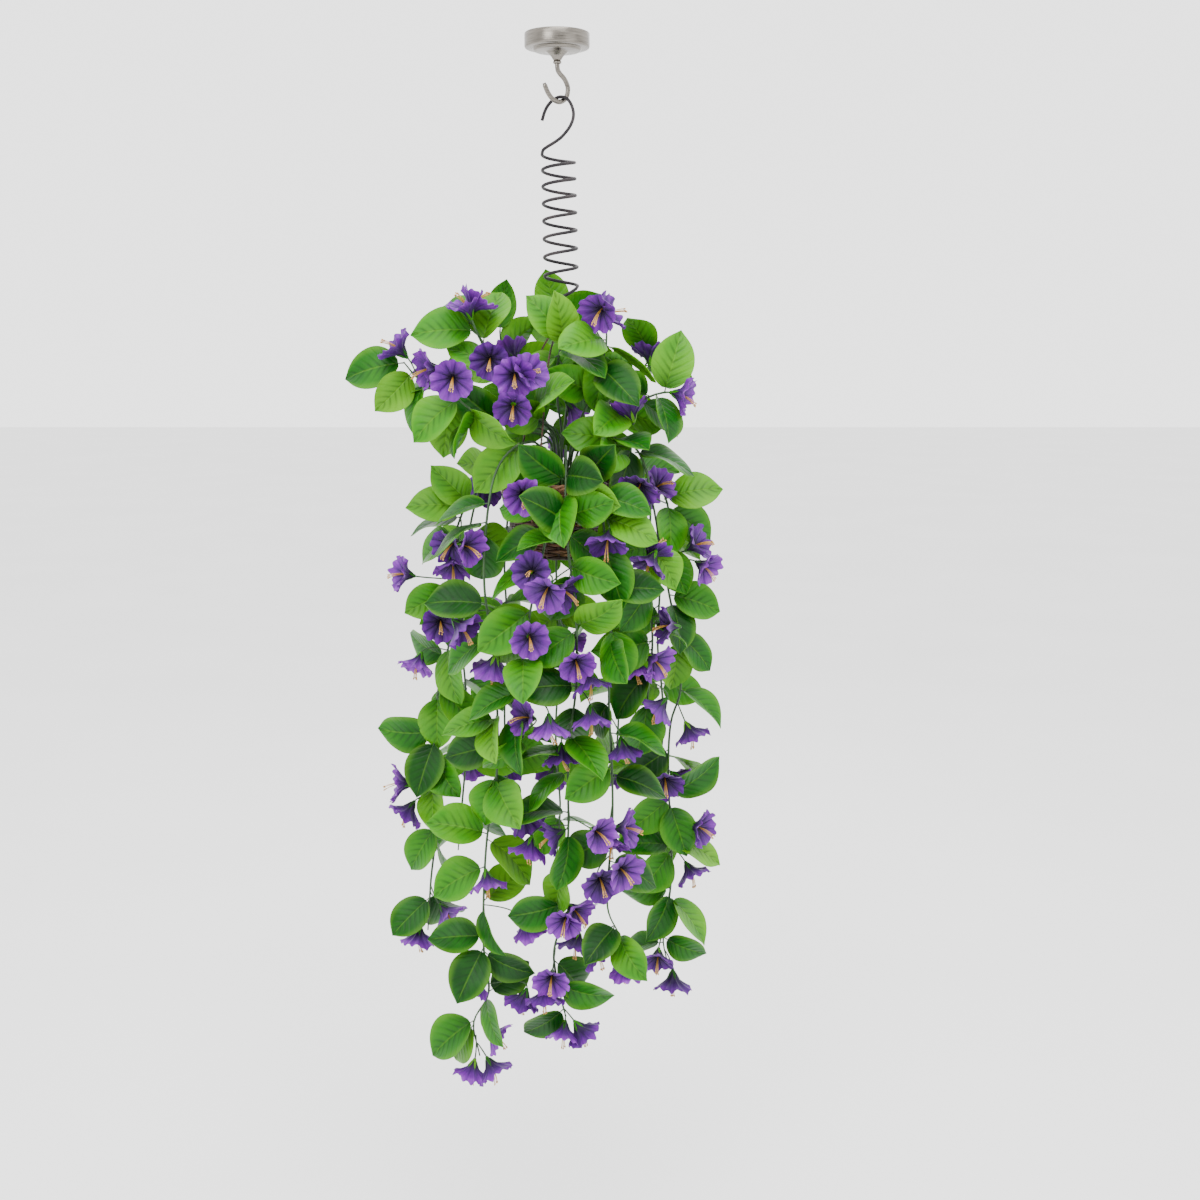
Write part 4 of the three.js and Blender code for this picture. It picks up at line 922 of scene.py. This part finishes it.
def buildBasket():
    form = Form()
    rim, tall = basket["rim"], basket["height"]
    low = rim - tall
    inset, stakes, strands, many = (weaveForm[key] for key in ("inset", "stakes", "strands", "floorRods"))
    for row in range(weaveForm["rows"]):
        z = low + 2.5 + (tall - 6) / (weaveForm["rows"] - 1) * row
        woven(form, "wall", pi * (row % 2), basketRadius(z) - inset, z)
    for stake in range(stakes):
        heights = [low + 1 + (tall - 1) * step / 8 for step in range(9)]
        path = [level(2 * pi * stake / stakes, basketRadius(z) - inset, z) for z in heights]
        rod(form, path, weaveForm["stake"], 8, shade=between(0, 1))
    for strand in range(strands):
        woven(form, "rim", strand * 2 * pi / strands, basket["radius"] - 1, rim)
    for strand in range(2):
        woven(form, "foot", strand * pi, basket["foot"] - 1.6, low + 1.9)
    for course in range(many):
        woven(form, "floor", pi * (course % 2 + 0.5), 5 + course * 3.3, low + 2.2)
    for stake in range(many):
        path = [level(pi * stake / many, out, low + 2.4) for out in range(-45, 46, 9)]
        rod(form, path, weaveForm["floorStake"], 6, shade=between(0, 1))
    form.build("wovenBasket", [willow], "willow", "basket")
    liner = Form()
    inner = [(basketRadius(z) - 4.1, z) for z in (low + 4.2, low + 30, low + 60, rim - 3)]
    outer = [(out + 0.7, z) for out, z in reversed(inner)]
    shell = [(0.1, low + 4.2), *inner, *outer[:-1], (outer[-1][0], low + 3.6), (0.1, low + 3.6)]
    lathe(liner, shell[::-1], 72)
    liner.build("basketLiner", [linerFilm], "willow")


# the foam that the stems stand in, cut a little rough on top
foamForm = {
    "height": 57.6, "gap": 0.9, "rough": 0.7,
    "rings": (0.93, 0.85, 0.75, 0.65, 0.55, 0.45, 0.35, 0.25, 0.15, 0.06)}


def buildFoam():
    top = basket["rim"] - foam["below"]
    low = top - foamForm["height"]
    form = Form()

    def side(z):
        return basketRadius(z) - basket["wall"] - foamForm["gap"]

    profile = [(0.1, low)] + [(side(z), z) for z in (low, top - 40, top - 20, top - 3)]
    profile += [(side(top) - 1.5, top - 0.4)] + [(side(top) * part, top) for part in foamForm["rings"]] + [(0.1, top)]
    lathe(form, profile, 64)
    for index, (x, y, z) in enumerate(form.points):
        if z > top - 1:
            form.points[index] = (x, y, z - between(0, foamForm["rough"]))
    form.build("foamBlock", [foamGreen], "foam", "foam_block")


for build in (buildPlate, buildHook, buildHanger, buildLegs, buildBasket, buildFoam):
    build()
print("hanging gear, basket and foam built")

# a leaf blade: ovate with a drawn out tip, folded along its midrib, waved at its rim
leafForm = {
    "from": 0.08, "cuts": 22, "half": 6, "thick": 0.7, "wave": 1.5, "quilt": 0.4, "veins": 7, "midrib": 0.3,
    "curl": (-1.8, 2.8), "twist": (-26, 26), "crease": (-0.14, 0.24), "bend": (-0.1, 0.05), "waves": (0.5, 1.7),
    "stalk": (0.0, 0.04, 0.08, 0.13, 0.2, 0.3, 0.42)}


def leafHalf(t):
    return sin(pi * t ** 0.9) ** (0.58 + 0.5 * t ** 8)


# a place on the finished blade, which is twisted, bent and folded a little more than the plain one
def bladePoint(leaf, part, left, lift):
    angle = leaf["twist"] * part
    rise = left * sin(angle) + leaf["crease"] * abs(left) + leaf["bend"] * leaf["length"] * part * part
    return leafPoint(leaf, part, left * cos(angle), lift + rise)


def addLeaf(form, leaf):
    shade = between(0, 1)
    phase = between(0, 2 * pi)
    curl, twist, crease, bend, waves = (between(*leafForm[key]) for key in ("curl", "twist", "crease", "bend", "waves"))
    leaf.update(twist=radians(twist), crease=crease, bend=bend)
    pale = 0.55 + 0.45 * shade
    count, half, thick = leafForm["cuts"], leafForm["half"], leafForm["thick"]
    top, bottom = [], []
    for step in range(count + 1):
        t = 0.012 + 0.985 * step / count
        part = leafForm["from"] + (1 - leafForm["from"]) * t
        wide = leaf["length"] * leafSize["width"] / 2 * leafHalf(t)
        top.append([])
        bottom.append([])
        for column in range(-half, half + 1):
            s = column / half
            wave = leafForm["wave"] * waves * s * s * sin(phase + 7.5 * t + (1.3 if s > 0 else 0)) * min(1, wide / 8)
            ripple = cos(2 * pi * leafForm["veins"] * (t - 0.3 * abs(s))) * (1 - abs(s))
            lift = wave - leafForm["quilt"] * ripple * min(1, wide / 6) - curl * s * s * min(1, wide / 10)
            if column == 0:
                lift -= leafForm["midrib"]
            for row, rise, tone in ((top[-1], thick / 2, shade), (bottom[-1], -thick / 2, pale)):
                row.append(form.point(bladePoint(leaf, part, s * wide, lift + rise), t, s / 2 + 0.5, tone))
    # both sides, then the rims along and the two ends
    for a, b, c, d in zip(top, top[1:], bottom, bottom[1:]):
        for i in range(2 * half):
            form.quad(a[i], b[i], b[i + 1], a[i + 1])
            form.quad(c[i], c[i + 1], d[i + 1], d[i])
        form.quad(a[0], c[0], d[0], b[0])
        form.quad(a[-1], b[-1], d[-1], c[-1])
    a, b, c, d = top[0], bottom[0], top[-1], bottom[-1]
    for i in range(2 * half):
        form.quad(a[i], a[i + 1], b[i + 1], b[i])
        form.quad(c[i], d[i], d[i + 1], c[i + 1])
    stalk = [bladePoint(leaf, part, 0, -leafForm["midrib"]) for part in leafForm["stalk"]]
    rod(form, stalk, lambda part: 0.85 * (1 - 0.75 * part), 6, 1, shade)


# a bloom: a trumpet that flares into five joined lobes, pleated and frilled
bloomForm = {
    "around": 80, "pleat": 1.6, "rim": 22, "notch": 0.13, "dent": 0.045,
    # times round, height, how steeply it grows outwards, and which phase
    "waves": [(2, 1.9, 2, 0), (5, 1.6, 3, 1), (7, 0.9, 2, 2), (13, 1.6, 5, 2)],
    "profile": [
        (1.5, 17), (2.3, 14.4), (3.3, 11.8), (4.8, 9.6), (7, 7.6), (9.8, 5.8), (13, 4.1), (16.2, 2.6), (19, 1.4),
        (21.8, 0.2), (21.4, 1.0), (18.6, 2.4), (15.4, 4.1), (11.6, 6.5), (8.4, 9), (6.2, 11.6), (4.8, 14.6),
        (3.2, 18.4), (1.6, 20.6)]}


def bloomPoint(bloom, out, back, angle, phases):
    notch = exp(-(cos(2.5 * angle) / 0.36) ** 2)
    dent = exp(-(sin(2.5 * angle) / 0.3) ** 2)
    crease = 1 - abs(sin(5 * angle)) ** 0.9
    part = min(1, out / bloomForm["rim"])
    ragged = 0.02 * sin(13 * angle + phases[1]) + 0.014 * sin(21 * angle + phases[2])
    out *= 1 + (ragged - bloomForm["notch"] * notch - bloomForm["dent"] * dent) * part ** 3
    back += bloomForm["pleat"] * part * (1.3 - part) * 3 * crease
    for times, height, power, phase in bloomForm["waves"]:
        back += height * part ** power * sin(times * angle + phases[phase])
    return bloomSpot(bloom, angle + bloom["spin"], out * bloom["scale"], back * bloom["scale"])


def addBloom(form, bloom):
    shade = between(0, 1)
    phases = [between(0, 2 * pi) for _ in range(3)]
    turns = [step / bloomForm["around"] for step in range(bloomForm["around"])]
    rings = []
    for out, back in bloomForm["profile"]:
        places = [bloomPoint(bloom, out, back, 2 * pi * turn, phases) for turn in turns]
        part = min(1, out / bloomForm["rim"])
        rings.append([form.point(place, turn, part, shade) for place, turn in zip(places, turns)])
    form.skin(rings[::-1])


# five sepals, each with its part of the length, its way out, its way back and half its width, on a knob and a stalk
calyxForm = {
    "sepal": [(0, 1.2, 21.3, 0.9), (0.35, 3.4, 18.6, 1.5), (0.7, 5.2, 15.2, 1.3), (1, 7.4, 11.8, 0.15)],
    "round": [(-1, 0.15), (0, 0.5), (1, 0.15), (0, -0.35)], "knob": (-1.6, -0.8, 0.4, 1.6, 2.6), "cuts": 8}


def addCalyx(form, bloom, shade):
    scale, facing = bloom["scale"], bloom["facing"]
    for sepal in range(5):
        angle = 2 * pi * (sepal + 0.5) / 5 + bloom["spin"]
        out = around((0, 0, 0), bloom["left"], bloom["up"], angle, 1)
        across = cross(facing, out)
        rows = []
        for part, reach, back, half in calyxForm["sepal"]:
            middle = bloomSpot(bloom, angle, reach * scale, back * scale)
            rows.append([])
            for side, lift in calyxForm["round"]:
                place = plus(plus(middle, across, side * half * scale), out, lift)
                rows[-1].append(form.point(place, part * 0.6 + 0.3, side / 2 + 0.5, shade))
        form.skin(rows, 1)
    root, foot = bloom["root"], plus(bloom["centre"], facing, -bloomSize["depth"] * scale)
    knob = [plus(foot, facing, step) for step in calyxForm["knob"]]
    rod(form, knob, lambda part: 0.8 + 1.5 * sin(pi * (0.15 + 0.6 * part)), 8, 1, shade)
    bend = plus(foot, facing, -apart(root, foot) * 0.35)
    parts = [step / calyxForm["cuts"] for step in range(calyxForm["cuts"] + 1)]
    path = [mixed(mixed(root, bend, t), mixed(bend, foot, t), t) for t in parts]
    rod(form, path, lambda part: 0.75 + 0.15 * part, 6, 2, shade)


# filaments hang out of the throat in a loose bunch, with the anthers at their tips
stamenForm = {"count": 6, "cuts": 8, "inside": 13, "reach": 9, "droop": 6, "near": 0.7, "spread": 3.4, "thin": 0.3}


def addStamens(form, bloom):
    facing, scale = bloom["facing"], bloom["scale"]
    inside, start = stamenForm["inside"], stamenForm["near"]
    droop = unit(plus((0, 0, -1), facing, facing[2])) if abs(facing[2]) < 0.98 else bloom["left"]
    for index in range(stamenForm["count"]):
        angle = 2 * pi * index / stamenForm["count"] + between(-0.3, 0.3)
        out = around((0, 0, 0), bloom["left"], bloom["up"], angle, 1)
        long = between(0.82, 1.08)
        path = []
        for step in range(stamenForm["cuts"] + 1):
            t = step / stamenForm["cuts"]
            place = plus(bloom["centre"], facing, ((inside + stamenForm["reach"] * long) * t - inside) * scale)
            place = plus(place, droop, (stamenForm["droop"] * t ** 2.2 - 0.4) * scale)
            path.append(plus(place, out, (start + (stamenForm["spread"] - start) * t ** 1.5) * scale * 0.6))
        rod(form, path, stamenForm["thin"], 6, 3)
        tip, along = path[-1], unit(plus(path[-1], path[-2], -1))
        bead = [plus(tip, along, 2.4 * (step / 5) - 1.0) for step in range(6)]
        rod(form, bead, lambda part: 0.2 + 0.48 * sin(pi * (0.08 + 0.84 * part)), 6, 3, 1)


stemForm = {"thin": 1.3, "taper": 5, "taperFrom": 0.9}


def stemThick(part):
    return stemForm["thin"] - stemForm["taper"] * max(0, part - stemForm["taperFrom"])


for spray in sprays:
    leaves, blooms = Form(), Form()
    rod(leaves, fine(smooth(spray["path"], 8), 6), stemThick, 8, 1)
    for leaf in spray["blades"]:
        addLeaf(leaves, leaf)
    leaves.build("leaves_" + spray["name"], [leafCloth, stemWrap], "leaf", "spray_" + spray["name"])
    for bloom in spray["placed"]:
        addBloom(blooms, bloom)
        addCalyx(blooms, bloom, between(0, 1))
        addStamens(blooms, bloom)
    if spray["placed"]:
        blooms.build("blooms_" + spray["name"], [petalCloth, leafCloth, stemWrap, stamenTone], "petal")
print("sprays built")

# plain pale floor and soft light from above, the front and both sides
stageLook = {"floor": -1.45, "half": 15, "dim": 0.85, "bright": 2.7}
lights = [
    # name, place, size, watts, turned down and turned round in degrees
    ("overhead", (0.2, -0.9, 1.2), 1.4, 40, (38, 0)),
    ("front", (-1.4, -2.4, 0.6), 1.2, 42, (68, -30)),
    ("fill", (1.9, -1.6, -0.2), 1.8, 16, (84, 50)),
    ("rear", (0.2, 1.9, 0.6), 1.8, 14, (62, 180)),
]


def buildStage():
    half = stageLook["half"]
    mesh = bpy.data.meshes.new("floor")
    corners = [(x * half, y * half, stageLook["floor"]) for x, y in ((-1, -1), (1, -1), (1, 1), (-1, 1))]
    mesh.from_pydata(corners, [], [(0, 1, 2, 3)])
    paint = Paint("paleFloor")
    paint.finish(paint.ramp(paint.noise(2), (0.3, (0.88, 0.88, 0.88)), (0.7, (0.91, 0.91, 0.91))), 0.9)
    mesh.materials.append(paint.holder)
    added("floor", mesh)
    # the sky is brighter behind the part and above it than on the camera's side
    sky = Paint("softSky", "worlds")
    bpy.context.scene.world = sky.holder
    _, behind, above = sky.parted(sky.node("TexCoord", output="Generated"))
    glow = sky.clamped(behind * 0.7 + above * 0.8, -0.5, 0.6)
    strength = glow * (stageLook["bright"] - stageLook["dim"]) + stageLook["dim"]
    sky.node("OutputWorld", {}, {"Surface": sky.node("Background", {}, {"Color": (1, 1, 1, 1), "Strength": strength})})
    for name, place, size, watts, (down, turn) in lights:
        lamp = bpy.data.lights.new(name, "AREA")
        lamp.size = size
        lamp.energy = watts
        holder = added(name, lamp)
        holder.location = place
        holder.rotation_euler = (radians(down), 0, radians(turn))


buildStage()
print("stage set")
